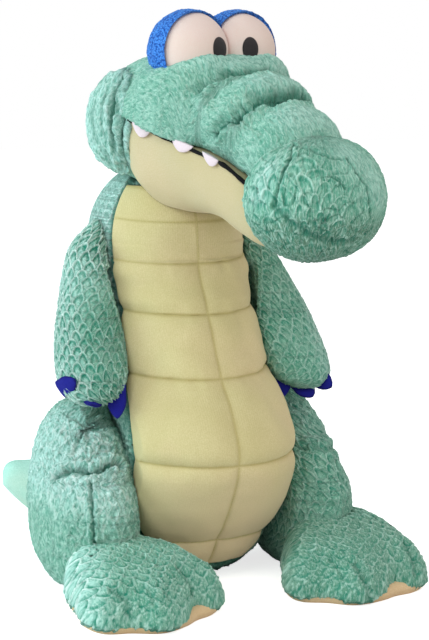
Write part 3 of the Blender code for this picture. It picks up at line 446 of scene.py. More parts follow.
def face_out(mesh):
    """Turns the faces outwards where the closed mesh would have a negative volume."""
    mesh.calc_loop_triangles()
    points = np.zeros(len(mesh.vertices) * 3)
    mesh.vertices.foreach_get("co", points)
    points = points.reshape(-1, 3)
    corners = np.zeros(len(mesh.loop_triangles) * 3, int)
    mesh.loop_triangles.foreach_get("vertices", corners)
    a, b, c = (points[corners.reshape(-1, 3)[:, k]] for k in range(3))
    if np.einsum("ij,ij->", a, np.cross(b, c)) < 0:
        mesh.flip_normals()


# The simulation that fills the cloth out between its seams.
SETTLE_MOMENTS, SETTLE_QUALITY = 20, 5
SETTLE_PRESSURE, SETTLE_BENDING = 4.0, 0.05
LEAST_HELD = 0.02


def settle(skin, held, loosen=0.05, cap=5 * MM, step=3.6 * MM, closed=True, smooth=1):
    """Lets the cloth fill out: a coarse copy is inflated, tight where held is 1, and the skin follows."""
    scene = bpy.context.scene
    rows, columns = skin.at.shape[:2]
    skin.measure()
    tall, wide = np.ptp(skin.along[:, 0]), np.ptp(skin.across, axis=1).max()
    row_at = np.unique(np.round(np.linspace(0, rows - 1, int(np.clip(tall / step, 14, 100)))).astype(int))
    count = int(np.clip(wide / step, 16, 120))
    last = columns if closed else columns - 1
    column_at = np.unique(np.round(np.linspace(0, last, count, endpoint=not closed)).astype(int))
    rough = skin.at[np.ix_(row_at, column_at)]
    faces = grid_faces(*rough.shape[:2])[2]
    if not closed:
        faces = faces[:, :-1]
    whole = Skin(rough)
    ahead = np.cross(np.roll(rough, -1, axis=1) - np.roll(rough, 1, axis=1), np.gradient(rough, axis=0))
    if np.sum((ahead * whole.normals())[:, 1:-1]) < 0:
        faces = faces[..., ::-1]
    mesh = bpy.data.meshes.new("settling")
    mesh.from_pydata(rough.reshape(-1, 3).tolist(), [], faces.reshape(-1, 4).tolist())
    thing = bpy.data.objects.new("settling", mesh)
    scene.collection.objects.link(thing)
    tight = np.array(held, float)[np.ix_(row_at, column_at)]
    tight[[0, -1]] = 1.0
    if not closed:
        tight[:, [0, -1]] = 1.0
    group = thing.vertex_groups.new(name="held")
    for place, weight in enumerate(tight.ravel()):
        if weight > LEAST_HELD:
            group.add([place], float(min(weight, 1.0)), "REPLACE")
    cloth = thing.modifiers.new("cloth", "CLOTH")
    cloth.settings.quality = SETTLE_QUALITY
    cloth.settings.use_pressure = True
    cloth.settings.uniform_pressure_force = SETTLE_PRESSURE
    cloth.settings.vertex_group_mass = "held"
    cloth.settings.shrink_min = -loosen
    cloth.settings.bending_stiffness = SETTLE_BENDING
    cloth.settings.effector_weights.gravity = 0
    cloth.collision_settings.use_collision = False
    for moment in range(1, SETTLE_MOMENTS + 1):
        scene.frame_set(moment)
    settled = thing.evaluated_get(bpy.context.evaluated_depsgraph_get())
    flat = np.zeros(rough.size)
    settled.data.vertices.foreach_get("co", flat)
    moved = flat.reshape(rough.shape) - rough
    far = np.linalg.norm(moved, axis=2, keepdims=True)
    moved *= np.minimum(far, cap) / np.maximum(far, 1e-9)
    for _ in range(smooth):
        moved[1:-1] = (moved[:-2] + 2 * moved[1:-1] + moved[2:]) / 4
        if closed:
            moved = (np.roll(moved, 1, axis=1) + 2 * moved + np.roll(moved, -1, axis=1)) / 4
        else:
            moved[:, 1:-1] = (moved[:, :-2] + 2 * moved[:, 1:-1] + moved[:, 2:]) / 4
    bpy.data.objects.remove(thing)
    bpy.data.meshes.remove(mesh)
    scene.frame_set(1)
    if closed:
        moved = np.concatenate([moved, moved[:, :1]], axis=1)
        column_at = np.append(column_at, columns)
    every = np.arange(columns)
    spread = np.stack([[np.interp(every, column_at, line[:, k]) for line in moved] for k in range(3)], axis=-1)
    place = np.interp(np.arange(rows), row_at, np.arange(len(row_at)))
    low = np.clip(place.astype(int), 0, len(row_at) - 2)
    part = (place - low)[:, None, None]
    part = part * part * (3 - 2 * part)
    skin.at += spread[low] * (1 - part) + spread[low + 1] * part
    return skin


# The photograph's camera, also used to lay seams where the photograph shows them.

def camera_axes():
    back = np.array((math.sin(CAMERA_AZIMUTH) * math.cos(CAMERA_RISE),
                     -math.cos(CAMERA_AZIMUTH) * math.cos(CAMERA_RISE), math.sin(CAMERA_RISE)))
    right = np.array((math.cos(CAMERA_AZIMUTH), math.sin(CAMERA_AZIMUTH), 0.0))
    return right, np.cross(right, -back), back


def photo_ray(x, y):
    right, up, back = camera_axes()
    way = -back + right * (x - PHOTO_WIDTH / 2) / CAMERA_PIXELS - up * (y - PHOTO_HEIGHT / 2) / CAMERA_PIXELS
    return CAMERA_TARGET + CAMERA_DISTANCE * back, way / np.linalg.norm(way)


def skin_tree(skin):
    faces = grid_faces(*skin.at.shape[:2])[2].reshape(-1, 4)
    return BVHTree.FromPolygons(skin.at.reshape(-1, 3).tolist(), faces.tolist())


def seam_on(skin, pixels, steps=6):
    """The points of a piece that lie under a line drawn on the photograph."""
    tree = skin_tree(skin)
    line = smooth_rows(pixels, (len(pixels) - 1) * steps + 1)
    found = []
    for x, y in line:
        origin, way = photo_ray(x, y)
        hit = tree.ray_cast(Vector(origin), Vector(way))
        if hit[0] is not None:
            found.append(np.array(hit[0]))
    return found


def mirror(points):
    return [np.array((-p[0], p[1], p[2])) for p in points]


# Materials: one small function adds a node with its settings and links.

def add(tree, kind, links=None, **settings):
    made = tree.nodes.new("ShaderNode" + kind)
    for key, value in settings.items():
        setattr(made, key, value)
    for socket, value in (links or {}).items():
        if isinstance(value, bpy.types.NodeSocket):
            tree.links.new(value, made.inputs[socket])
        else:
            made.inputs[socket].default_value = value
    return made


def opaque(colour):
    return (*colour, 1.0)


def new_material(name, colour, roughness, sheen, sheen_tint, sheen_roughness=0.5):
    mat = bpy.data.materials.new(name)
    mat.use_nodes = True
    shader = mat.node_tree.nodes["Principled BSDF"]
    shader.inputs["Base Color"].default_value = opaque(colour)
    shader.inputs["Roughness"].default_value = roughness
    shader.inputs["Specular IOR Level"].default_value = 0.2
    shader.inputs["Sheen Weight"].default_value = sheen
    shader.inputs["Sheen Roughness"].default_value = sheen_roughness
    shader.inputs["Sheen Tint"].default_value = opaque(sheen_tint)
    return mat, mat.node_tree, shader


def mix_colour(tree, factor, first, second):
    return add(tree, "Mix", {0: factor, 6: first, 7: second}, data_type="RGBA").outputs[2]


def ramp(tree, value, low, high, out_low=0.0, out_high=1.0):
    """A value stretched from one range to another and held at its ends."""
    links = {"Value": value, "From Min": low, "From Max": high, "To Min": out_low, "To Max": out_high}
    return add(tree, "MapRange", links, clamp=True).outputs[0]


def pile_lay(tree, across, along):
    """Coordinates on the flat cloth, so that tufts are longer the way the pile lies."""
    lay = add(tree, "Attribute", attribute_name="lay").outputs["Vector"]
    return add(tree, "Mapping", {"Vector": lay, "Scale": (1 / across, 1 / along, 1.0)}).outputs[0]


def measure_of(tree, name):
    """One of the measures stored on a piece, by name: painted shade in folds, painted highlight along the rims, painted
    shade in the grooves, or painted light and shade.
    """
    return add(tree, "Attribute", attribute_name=name).outputs["Fac"]


def noise(tree, vector, size, **inputs):
    """Cloudy values from 0 to 1 that change over a distance of size."""
    return add(tree, "TexNoise", {"Vector": vector, "Scale": 1 / size, **inputs}).outputs["Fac"]


def dress(tree, shader, colour, height, strength, distance):
    """Joins a colour and a bump to the shader."""
    tree.links.new(colour, shader.inputs["Base Color"])
    bump = add(tree, "Bump", {"Height": height, "Strength": strength, "Distance": distance})
    tree.links.new(bump.outputs[0], shader.inputs["Normal"])


def combined(tree, operation, first, second):
    return add(tree, "Math", {0: first, 1: second}, operation=operation).outputs[0]


def embossed_plush(colours):
    """Minky: short polyester pile, heat-embossed with scales. Painted highlights on the rims, painted deep teal shade
    in the grooves and folds, painted light and shade by side, a soft sheen.
    """
    mat, tree, shader = new_material("embossed_minky_plush", colours.mint, 0.95, 0.25, linear("#dff7ee"), 0.35)
    where = add(tree, "TexCoord").outputs["Object"]
    rim, groove, painted_shade, painted_light_and_shade = (measure_of(tree, name) for name in ("rim", "groove", "painted_shade", "painted_light_and_shade"))
    # Patches about 22 mm wide where the pile lies another way, tufts 2 mm wide and strokes of pile 1 mm wide.
    patch = noise(tree, where, 22 * MM, Detail=4.0)
    tufts = noise(tree, pile_lay(tree, 2.2 * MM, 6.0 * MM), 1.0, Detail=3.0, Roughness=0.65)
    hairs = noise(tree, pile_lay(tree, 1.1 * MM, 4.2 * MM), 1.0, Detail=3.0, Roughness=0.7)
    body = mix_colour(tree, ramp(tree, patch, 0.35, 0.68, 0.0, 0.28), opaque(colours.mint), opaque(colours.mint_tip))
    body = mix_colour(tree, ramp(tree, patch, 0.50, 0.32, 0.0, 0.22), body, opaque(colours.mint_deep_and_shade))
    # Painted light: the pile is painted pale cyan on the side that faces the window light.
    body = mix_colour(tree, ramp(tree, painted_light_and_shade, 0.0, 1.0, 0.0, 0.80), body, opaque(linear("#c8f2ec")))
    # Painted shade: the pile is painted greyer and darker on the side away from the window light.
    body = mix_colour(tree, ramp(tree, painted_light_and_shade, 0.0, -1.0, 0.0, 0.80), body, opaque(linear("#50735b")))
    body = mix_colour(tree, ramp(tree, tufts, 0.40, 0.55, 0.52, 0.0), body, opaque(colours.mint_deep_and_shade))
    body = mix_colour(tree, ramp(tree, hairs, 0.50, 0.62, 0.0, 0.62), body, opaque(colours.mint_tip))
    # Painted shade in the scales' grooves and hollows and under their tips.
    low = combined(tree, "MULTIPLY", groove, ramp(tree, tufts, 0.66, 0.40, 0.45, 1.0))
    body = mix_colour(tree, low, body, opaque(colours.mint_deep_and_shade))
    # Painted highlight along the scales' rims, whiter where painted light falls.
    lit = combined(tree, "MULTIPLY", rim, ramp(tree, tufts, 0.34, 0.54, 0.35, 1.0))
    body = mix_colour(tree, lit, body, mix_colour(tree, painted_light_and_shade, opaque(linear("#bde5d7")), opaque(linear("#ecfcf7"))))
    # Painted shade in folds, seams and creases.
    body = mix_colour(tree, combined(tree, "MULTIPLY", painted_shade, 0.92), body, opaque(linear("#23705c")))
    dress(tree, shader, body, combined(tree, "ADD", tufts, hairs), 0.9, 2.0 * MM)
    return mat


def short_velour(name, colour, shade, sheen_tint, rib=0.0, sheen=0.3):
    """Shorn velour: an even short pile that hides its knit, faint ribs along it, a pale sheen at grazing angles, and
    painted light and shade.
    """
    mat, tree, shader = new_material(name, colour, 0.9, sheen, sheen_tint, 0.45)
    where = add(tree, "TexCoord").outputs["Object"]
    patch = noise(tree, where, 40 * MM, Detail=4.0)
    grain = noise(tree, where, 0.9 * MM, Detail=2.0, Roughness=0.7)
    ribs = add(tree, "TexWave", {"Vector": pile_lay(tree, 1.0, 1.0), "Scale": 0.314 / (1.9 * MM), "Distortion": 1.2,
                                 "Detail": 2.0}, wave_type="BANDS", bands_direction="X").outputs["Fac"]
    body = mix_colour(tree, ramp(tree, patch, 0.36, 0.70, 0.0, 0.22), opaque(colour), opaque(shade))
    warm = noise(tree, where, 55 * MM, Detail=2.0, Roughness=0.4)
    body = mix_colour(tree, ramp(tree, warm, 0.48, 0.66, 0.0, 0.30), body, opaque(linear("#dcc3a4")))
    body = mix_colour(tree, ramp(tree, grain, 0.40, 0.65, 0.34, 0.0), body, opaque(shade))
    body = mix_colour(tree, ramp(tree, ribs, 0.0, 1.0, 0.22 * rib, 0.0), body, opaque(shade))
    # Painted light: the velour is painted paler and warmer where the piece's measure is above 0, as low on the belly.
    body = mix_colour(tree, measure_of(tree, "painted_light_and_shade"), body, opaque(linear("#e6ccab")))
    # Painted shade along seams, where the eyeballs meet and on the jaw below the lip.
    body = mix_colour(tree, combined(tree, "MULTIPLY", measure_of(tree, "painted_shade"), 0.75), body, opaque(shade))
    height = combined(tree, "ADD", grain, combined(tree, "MULTIPLY", ribs, rib))
    dress(tree, shader, body, height, 0.30, 0.5 * MM)
    return mat


def looped_terry(colour):
    """Terry: uncut loops about 1.4 mm wide, with a painted highlight where they face the lamp and painted shade, near
    navy, between them.
    """
    mat, tree, shader = new_material("looped_terry", colour, 0.85, 0.4, linear("#8fc0ff"), 0.4)
    where = add(tree, "TexCoord").outputs["Object"]
    loops = add(tree, "TexVoronoi", {"Vector": where, "Scale": 1 / (1.7 * MM), "Randomness": 0.9})
    patch = noise(tree, where, 7 * MM, Detail=2.0)
    from_loop = loops.outputs["Distance"]
    # Painted highlight on each loop and painted shade between the loops.
    body = mix_colour(tree, ramp(tree, from_loop, 0.15, 0.75), opaque(linear("#4f97ee")), opaque(colour))
    body = mix_colour(tree, ramp(tree, from_loop, 0.45, 0.95), body, opaque(linear("#0a2a78")))
    body = mix_colour(tree, ramp(tree, patch, 0.35, 0.65, 0.35, 0.0), body, opaque(linear("#1249a4")))
    dress(tree, shader, body, ramp(tree, from_loop, 0.0, 0.9, 1.0, 0.0), 0.8, 1.0 * MM)
    return mat


def pressed_felt(name, colour, light):
    """Felt: matted fibres pressed flat, with no weave, faintly mottled."""
    mat, tree, shader = new_material(name, colour, 0.95, 0.25, light, 0.5)
    where = add(tree, "TexCoord").outputs["Object"]
    fibres = noise(tree, where, 0.8 * MM, Detail=4.0, Roughness=0.75, Distortion=0.6)
    body = mix_colour(tree, ramp(tree, fibres, 0.42, 0.66, 0.0, 0.22), opaque(colour), opaque(light))
    # Painted shade, as along the claws' thin edges and tips.
    body = mix_colour(tree, measure_of(tree, "painted_shade"), body, opaque([0.35 * value for value in colour]))
    dress(tree, shader, body, fibres, 0.35, 0.4 * MM)
    return mat


def satin_stitch(colour):
    """Satin stitch: glossy threads side by side, drawn at 0.7 mm so that they show."""
    mat, tree, shader = new_material("satin_stitch", colour, 0.5, 0.0, linear("#8b8b93"), 0.4)
    threads = add(tree, "TexWave", {"Vector": pile_lay(tree, 1.0, 1.0), "Scale": 0.314 / (0.7 * MM),
                                    "Distortion": 0.8, "Detail": 1.0}, wave_type="BANDS",
                  bands_direction="Y").outputs["Fac"]
    body = mix_colour(tree, ramp(tree, threads, 0.60, 1.0, 0.0, 0.16), opaque(colour), opaque(linear("#6d6468")))
    dress(tree, shader, body, threads, 0.7, 0.4 * MM)
    shader.inputs["Specular IOR Level"].default_value = 0.3
    return mat


def sewing_thread(colour):
    """Spun polyester thread, a little darker than the velour it sinks into."""
    mat, tree, shader = new_material("sewing_thread", colour, 0.7, 0.1, linear("#fff7d8"))
    where = add(tree, "TexCoord").outputs["Object"]
    twist = noise(tree, where, 0.5 * MM, Detail=1.0)
    body = mix_colour(tree, ramp(tree, twist, 0.4, 0.6, 0.0, 0.4), opaque(colour), opaque(linear("#a89c62")))
    tree.links.new(body, shader.inputs["Base Color"])
    return mat


CLOTHS = {}


def cloth_material(key):
    """Each cloth's material, made once."""
    colours = bpy.context.scene.crocodile_colours
    if key not in CLOTHS:
        makers = {
            "plush": lambda: embossed_plush(colours),
            "belly": lambda: short_velour("belly_velour", colours.belly, linear("#ada066"), linear("#fffbe0"),
                                          0.35, 0.2),
            "jaw": lambda: short_velour("jaw_velour", colours.jaw, linear("#b9a978"), linear("#fff6e0"), 0.3, 0.2),
            "sole": lambda: short_velour("sole_velour", colours.sole, linear("#c19a68"), linear("#fff0d8"), 0.2),
            "tail": lambda: short_velour("tail_velour", colours.tail, linear("#6cb9a0"), linear("#e6fff6"), 0.2, 0.45),
            "eye": lambda: short_velour("eye_velour", colours.eye, linear("#dcbcb4"), linear("#fff4f0"), 0.15, 0.25),
            "terry": lambda: looped_terry(colours.lid),
            "claw": lambda: pressed_felt("claw_felt", colours.claw, linear("#2b30a4")),
            "tooth": lambda: pressed_felt("tooth_felt", colours.tooth, linear("#fff4f6")),
            "mouth": lambda: pressed_felt("mouth_felt", colours.mouth, linear("#2c2a2e")),
            "pupil": lambda: satin_stitch(colours.pupil),
            "thread": lambda: sewing_thread(colours.thread),
        }
        CLOTHS[key] = makers[key]()
    return CLOTHS[key]


# Torso and belly.

# Height of SEAT_TO_DOME, half width, front, back, and the widest place between them.
TORSO_SHARES = [
    (0.000, 0.74, 0.26, 0.74, 0.50), (0.045, 0.90, 0.42, 0.88, 0.50), (0.136, 0.98, 0.60, 0.95, 0.46),
    (0.257, 1.00, 0.85, 0.98, 0.42), (0.393, 1.00, 1.00, 1.00, 0.40), (0.515, 0.955, 0.89, 1.00, 0.43),
    (0.629, 0.88, 0.66, 1.00, 0.46), (0.805, 0.825, 0.42, 0.995, 0.49), (0.905, 0.836, 0.28, 1.00, 0.50),
]
BELLY_ROW_SHARES = [0.05, 0.136, 0.393, 0.629, 0.805, 0.949, 1.070, 1.162]
BELLY_SPAN, BELLY_FOOT_SPAN = math.radians(134), math.radians(66)


def torso_sections(heights):
    """Half width, front, back and widest place of the torso at each height."""
    sizes = bpy.context.scene.crocodile_sizes
    wide, front, back = sizes.torso_half_width, sizes.torso_front, sizes.torso_back
    neck_y = NECK[1]
    rows = TORSO_SHARES + [(1.0, DOME_R / wide, (DOME_R - neck_y) / front, (DOME_R + neck_y) / back, 0.5)]
    fine = smooth_rows(rows, 400)
    share = np.asarray(heights) / SEAT_TO_DOME
    width, fore, aft, widest = (np.interp(share, fine[:, 0], fine[:, k]) for k in (1, 2, 3, 4))
    fore, aft, width = fore * front, aft * back, width * wide
    middle = -fore + (fore + aft) * widest
    dome = np.sqrt(np.clip(DOME_R ** 2 - np.maximum(np.asarray(heights) - SEAT_TO_DOME, 0) ** 2, 0, None))
    over = np.asarray(heights) >= SEAT_TO_DOME
    return (np.where(over, dome, width), np.where(over, dome - neck_y, fore), np.where(over, dome + neck_y, aft),
            np.where(over, neck_y, middle))


def torso_points(heights, turns, out=0.0):
    """Points of the torso's skin; turn 0 is the front and grows towards the crocodile's left."""
    width, front, back, middle = (v[:, None] for v in torso_sections(heights))
    out = np.asarray(out)
    depth = np.where(np.cos(turns) > 0, front + middle, back - middle)
    side = np.sin(turns) * (width + out)
    forward = np.cos(turns) * (depth + out)
    tall = np.broadcast_to(np.asarray(heights)[:, None], side.shape)
    return np.stack([side, middle - forward, tall], axis=-1)


def torso_skin(rows=360, columns=400):
    top = SEAT_TO_DOME + math.sqrt(DOME_R ** 2 - (34 * MM) ** 2)
    heights = np.interp(np.linspace(0, 1, rows), [0, 0.84, 1], [0, SEAT_TO_DOME, top])
    turns = np.linspace(-math.pi, math.pi, columns, endpoint=False)[None, :]
    return Skin(torso_points(heights, turns))


class CROCODILE_OT_torso(bpy.types.Operator):
    """The green pear-shaped body behind and beside the belly"""
    bl_idname = "crocodile.torso"
    bl_label = "Torso"

    def execute(self, context):
        cloth = context.scene.crocodile_cloth
        skin = torso_skin()
        # The flanks lie flat against the thighs.
        flank = np.exp(-(np.hypot(skin.at[..., 1] - HIP[1], skin.at[..., 2] - HIP[2]) / (74 * MM)) ** 6)
        limit = HIP[0] - 0.5 * MM
        side = np.abs(skin.at[..., 0])
        skin.at[..., 0] = np.sign(skin.at[..., 0]) * np.where(side > limit, side + (limit - side) * flank, side)
        # Loose cloth in the small of the back and at the sides.
        sag = cloudy(skin.at * (1, 1, 2.2), 55 * MM, 11) * 2.2 * MM
        edge = soft_step(skin.at[..., 2], 5 * MM, 40 * MM) * (1 - soft_step(skin.at[..., 2], 215 * MM, 262 * MM))
        away = soft_step(np.abs(skin.at[..., 1] - NECK[1]) + np.abs(skin.at[..., 2] - 262 * MM), 40 * MM, 70 * MM)
        skin.push(sag * edge * away)
        # The back seam, pressed in with painted shade along it.
        back_seam = [(0.0, p[1], p[2]) for p in skin.at[8:-14:6, 0]]
        skin.tuck_in(back_seam, 2.0 * MM, 2.2 * MM)
        dome = np.linalg.norm(skin.at - NECK, axis=2)
        quiet = 1 - soft_step(skin.at[..., 2], 262 * MM, 276 * MM) * 0.2
        # Painted light on the upper part of the crocodile's right flank, which faces the window light, and painted
        # shade on its left flank.
        lit = soft_step(-skin.at[..., 0], 25 * MM, 50 * MM) * soft_step(skin.at[..., 2], 110 * MM, 210 * MM)
        skin.painted_light_and_shade = 1.1 * lit
        skin.painted_light_and_shade -= 0.5 * soft_step(skin.at[..., 0], 30 * MM, 60 * MM)
        skin.emboss(cloth, 1.2, up=1, seed=21, fade=quiet, rough=0.3)
        skin.nap(cloth, 1.0, 22)
        # Under the belly's cloth the pile is pressed in, and its border is a sewn groove with painted shade along it.
        share = skin.at[..., 2] / SEAT_TO_DOME
        turn = np.linspace(-math.pi, math.pi, skin.at.shape[1], endpoint=False)[None, :]
        inside = (belly_half_turn(share) - np.abs(turn)) * 80 * MM * (share > BELLY_ROW_SHARES[0])
        skin.push(-4.2 * MM * soft_step(inside, -0.5 * MM, 3.5 * MM) - 1.6 * MM * bell(inside, 3 * MM))
        skin.darken(0.8 * bell(inside, 2.2 * MM))
        # Under the head the pile is pressed down to the dome that the head turns on.
        far = np.linalg.norm(skin.at - NECK, axis=2)
        pressed = (skin.at[..., 2] > SEAT_TO_DOME - 8 * MM) & (dome < DOME_R + 6 * MM)
        snug = DOME_R - 3.0 * MM * soft_step(inside, 0.0, 3 * MM)
        shrink = np.where(pressed & (far > snug), snug / far, 1.0)
        skin.at = NECK + (skin.at - NECK) * shrink[..., None]
        build_skin("torso_cloth", skin, cloth_material("plush"), "torso", "torso",
                   ends=((0.0, 20 * MM, 0.0), None))
        return {"FINISHED"}


def belly_half_turn(share):
    blend = np.clip((share - BELLY_ROW_SHARES[0]) / (BELLY_ROW_SHARES[2] - BELLY_ROW_SHARES[0]), 0, 1)
    return (BELLY_FOOT_SPAN + (BELLY_SPAN - BELLY_FOOT_SPAN) * np.sin(blend * math.pi / 2)) / 2


def row_distance(share):
    """Distance from the nearer of the seams above and below."""
    rows = np.array(BELLY_ROW_SHARES)
    index = np.clip(np.searchsorted(rows, share, side="right") - 1, 0, len(rows) - 2)
    tall = (rows[index + 1] - rows[index]) * SEAT_TO_DOME
    field = (share - rows[index]) / (rows[index + 1] - rows[index])
    return np.minimum(field, 1 - field) * tall


class CROCODILE_OT_belly(bpy.types.Operator):
    """The padded cream belly, sewn in rows with a middle seam, and its topstitching"""
    bl_idname = "crocodile.belly"
    bl_label = "Belly"

    def execute(self, context):
        sizes, cloth = context.scene.crocodile_sizes, context.scene.crocodile_cloth
        rows, columns = 330, 170
        share = np.linspace(BELLY_ROW_SHARES[0], BELLY_ROW_SHARES[-1], rows)
        heights = share * SEAT_TO_DOME
        half = belly_half_turn(share)[:, None]
        across = np.linspace(-1, 1, columns)[None, :]
        # The rows' seams hang a little lower in the middle.
        hang = 3.0 * MM / SEAT_TO_DOME * (1 - across ** 2) * soft_step(share, 0.2, 0.5)[:, None]
        from_row = row_distance(share[:, None] + hang)
        # The panel's edge is drawn in a little where each row's seam meets it.
        turns = half * across * (1 - 0.028 * bell(from_row, 4.5 * MM) * (share < 0.94)[:, None])
        flat = torso_points(heights, turns)
        reach = 62 * MM * half / half.max()
        wobble = cloudy(flat, 30 * MM, 31) * 1.2 * MM
        row_gap = np.maximum(from_row + wobble * 0.4, 0)
        seam_gap = np.abs(across) * reach + np.zeros_like(row_gap)
        edge_gap = (1 - np.abs(across)) * reach + np.zeros_like(row_gap)
        crown = np.ones_like(row_gap)
        for gap, soft in ((row_gap, 15 * MM), (seam_gap, 13 * MM), (edge_gap, 17 * MM)):
            part = np.clip(gap / soft, 0, 1)
            crown = crown * np.sqrt(1 - (1 - part) ** 2)
        puff = sizes.belly_puff * np.where(share > 0.949, 0.0, np.where(share > 0.805, 0.8, 1.0))[:, None]
        lift = crown * puff
        # Puckers run across each seam where the thread draws the cloth in.
        pull = cloudy(flat * (1, 1, 0.25), 7 * MM, 33)
        lift += 0.9 * MM * pull * bell(row_gap, 9 * MM) * (puff > 0)
        pull = cloudy(flat * (0.25, 0.25, 1), 8 * MM, 34)
        lift += 0.6 * MM * pull * bell(seam_gap, 7 * MM) * (puff > 0)
        # Lazy folds across the upper rows, where the body bends.
        fold = cloudy(flat * (0.35, 0.35, 1.6), 19 * MM, 35)
        lift += 1.9 * MM * fold * soft_step(share, 0.55, 0.8)[:, None] * np.clip(crown, 0, 1)
        outer = torso_points(heights, turns, lift + 0.6 * MM)
        seams = np.maximum(bell(row_gap, 2.5 * MM), bell(seam_gap, 2.5 * MM))
        outer = settle(Skin(outer), np.maximum(seams, soft_step(share, 0.93, 0.96)[:, None]), 0.022, 2.2 * MM,
                       closed=False, smooth=4).at
        inner = torso_points(heights, turns, -3.0 * MM)
        rim = np.clip(edge_gap / (2.5 * MM), 0, 1)[..., None]
        outer = inner + (outer - inner) * (0.35 + 0.65 * rim)
        far = np.linalg.norm(outer - NECK, axis=2)
        high = outer[..., 2] > SEAT_TO_DOME - 2 * MM
        shrink = np.where(high & (far > DOME_R), DOME_R / far, 1.0)
        outer = NECK + (outer - NECK) * shrink[..., None]
        limit = HIP[0] - 0.3 * MM
        near_hip = np.hypot(outer[..., 1] - HIP[1], outer[..., 2] - HIP[2]) < 86 * MM
        outer[..., 0] = np.where(near_hip, np.clip(outer[..., 0], -limit, limit), outer[..., 0])
        skin = Skin(np.concatenate([outer, inner[:, ::-1]], axis=1), front=0.25)
        # Painted shade along the rows' seams and the middle seam.
        shade = np.maximum(bell(row_gap, 1.2 * MM), bell(seam_gap, 1.1 * MM) * 0.7) * 0.85
        skin.painted_shade = np.concatenate([shade, np.zeros_like(shade)], axis=1)
        # Painted light: the velour is painted paler and warmer towards the bottom and on the crocodile's left side.
        warm = 0.55 * soft_step(share, 0.45, 0.12)[:, None] + 0.25 * soft_step(across, 0.1, 0.9)
        skin.painted_light_and_shade = np.concatenate([warm + 0 * shade, 0 * shade], axis=1)
        build_belly(skin, shade.shape[1])
        self.stitch(outer, share, hang, columns, cloth)
        return {"FINISHED"}

    def stitch(self, outer, share, hang, columns, cloth):
        """Short threads sunk in the seams, one for each stitch."""
        lines = [outer[4:-4, columns // 2]]
        for seam in BELLY_ROW_SHARES[1:-1]:
            column = np.arange(4, columns - 4)
            row = np.interp(seam - hang[:, column][int(np.argmin(np.abs(share - seam)))], share, np.arange(len(share)))
            low, part = row.astype(int), (row % 1)[:, None]
            lines.append(outer[low, column] * (1 - part) + outer[low + 1, column] * part)
        threads = []
        for line in lines:
            way = np.concatenate([[0], np.cumsum(np.linalg.norm(np.diff(line, axis=0), axis=1))])
            for start in np.arange(cloth.stitch_pitch, way[-1] - cloth.stitch_pitch, cloth.stitch_pitch):
                ends = [np.array([np.interp(at, way, line[:, k]) for k in range(3)])
                        for at in (start, start + 0.62 * cloth.stitch_pitch)]
                threads.append(ends)
        build_threads("belly_stitches", threads, cloth.thread_width, "torso")


def build_belly(skin, wide):
    """A closed slab: the grid's ends are joined as strips, not as fans."""
    rows, columns = skin.at.shape[:2]
    index, _, faces = grid_faces(rows, columns)
    faces = faces.reshape(-1, 4).tolist()
    for row in (0, rows - 1):
        for column in range(wide - 1):
            a, b = index[row, column], index[row, column + 1]
            c, d = index[row, columns - 2 - column], index[row, columns - 1 - column]
            quad = [int(a), int(b), int(c), int(d)]
            faces.append(quad if row else quad[::-1])
    mesh = bpy.data.meshes.new("belly_velour")
    mesh.from_pydata(skin.at.reshape(-1, 3).tolist(), [], faces)
    write_measures(mesh, skin)
    bake_map(mesh, rows, columns)
    thing = finish_piece("belly_velour", mesh, cloth_material("belly"), "torso")
    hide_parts("belly_panel")


def build_threads(name, threads, width, body, key="thread"):
    """Stitches as short rounded rods of six sides, pressed a little into the cloth."""
    points, faces = [], []
    sides = 6
    profile = [(-0.08, 0.35), (0.12, 0.9), (0.5, 1.0), (0.88, 0.9), (1.08, 0.35)]
    for start, end in threads:
        way = end - start
        length = np.linalg.norm(way)
        if length < 1e-6:
            continue
        way = way / length
        side = np.cross(way, (0.31, 0.22, 0.92))
        side = side / np.linalg.norm(side)
        up = np.cross(side, way)
        base = len(points)
        for share, wide in profile:
            for step in range(sides):
                turn = 2 * math.pi * step / sides
                offset = (side * math.cos(turn) + up * math.sin(turn)) * width / 2 * wide
                points.append(start + way * length * share + offset)
        for ring in range(len(profile) - 1):
            for step in range(sides):
                after = (step + 1) % sides
                low, high = base + ring * sides, base + (ring + 1) * sides
                faces.append((low + step, low + after, high + after, high + step))
        faces.append(tuple(base + step for step in reversed(range(sides))))
        faces.append(tuple(base + (len(profile) - 1) * sides + step for step in range(sides)))
    mesh = bpy.data.meshes.new(name)
    mesh.from_pydata([tuple(p) for p in points], [], faces)
    return finish_piece(name, mesh, cloth_material(key), body)


class CROCODILE_OT_neck(bpy.types.Operator):
    """The stuffed disc between torso and head"""
    bl_idname = "crocodile.neck"
    bl_label = "Neck"

    def execute(self, context):
        rows, columns = 26, 96
        top = math.asin(34 * MM / DOME_R)
        angle = np.linspace(top, top / rows, rows)[:, None]
        turn = full_turn(columns)
        radius = DOME_R - 0.4 * MM
        points = np.stack([np.sin(angle) * np.cos(turn), np.sin(angle) * np.sin(turn),
                           np.broadcast_to(np.cos(angle), (rows, columns))], axis=-1) * radius + NECK
        build_skin("neck_cloth", Skin(points), cloth_material("plush"), "neck", "neck_pad")
        return {"FINISHED"}


# Head. Its own frame has the neck's pivot at the origin and looks along -Y.

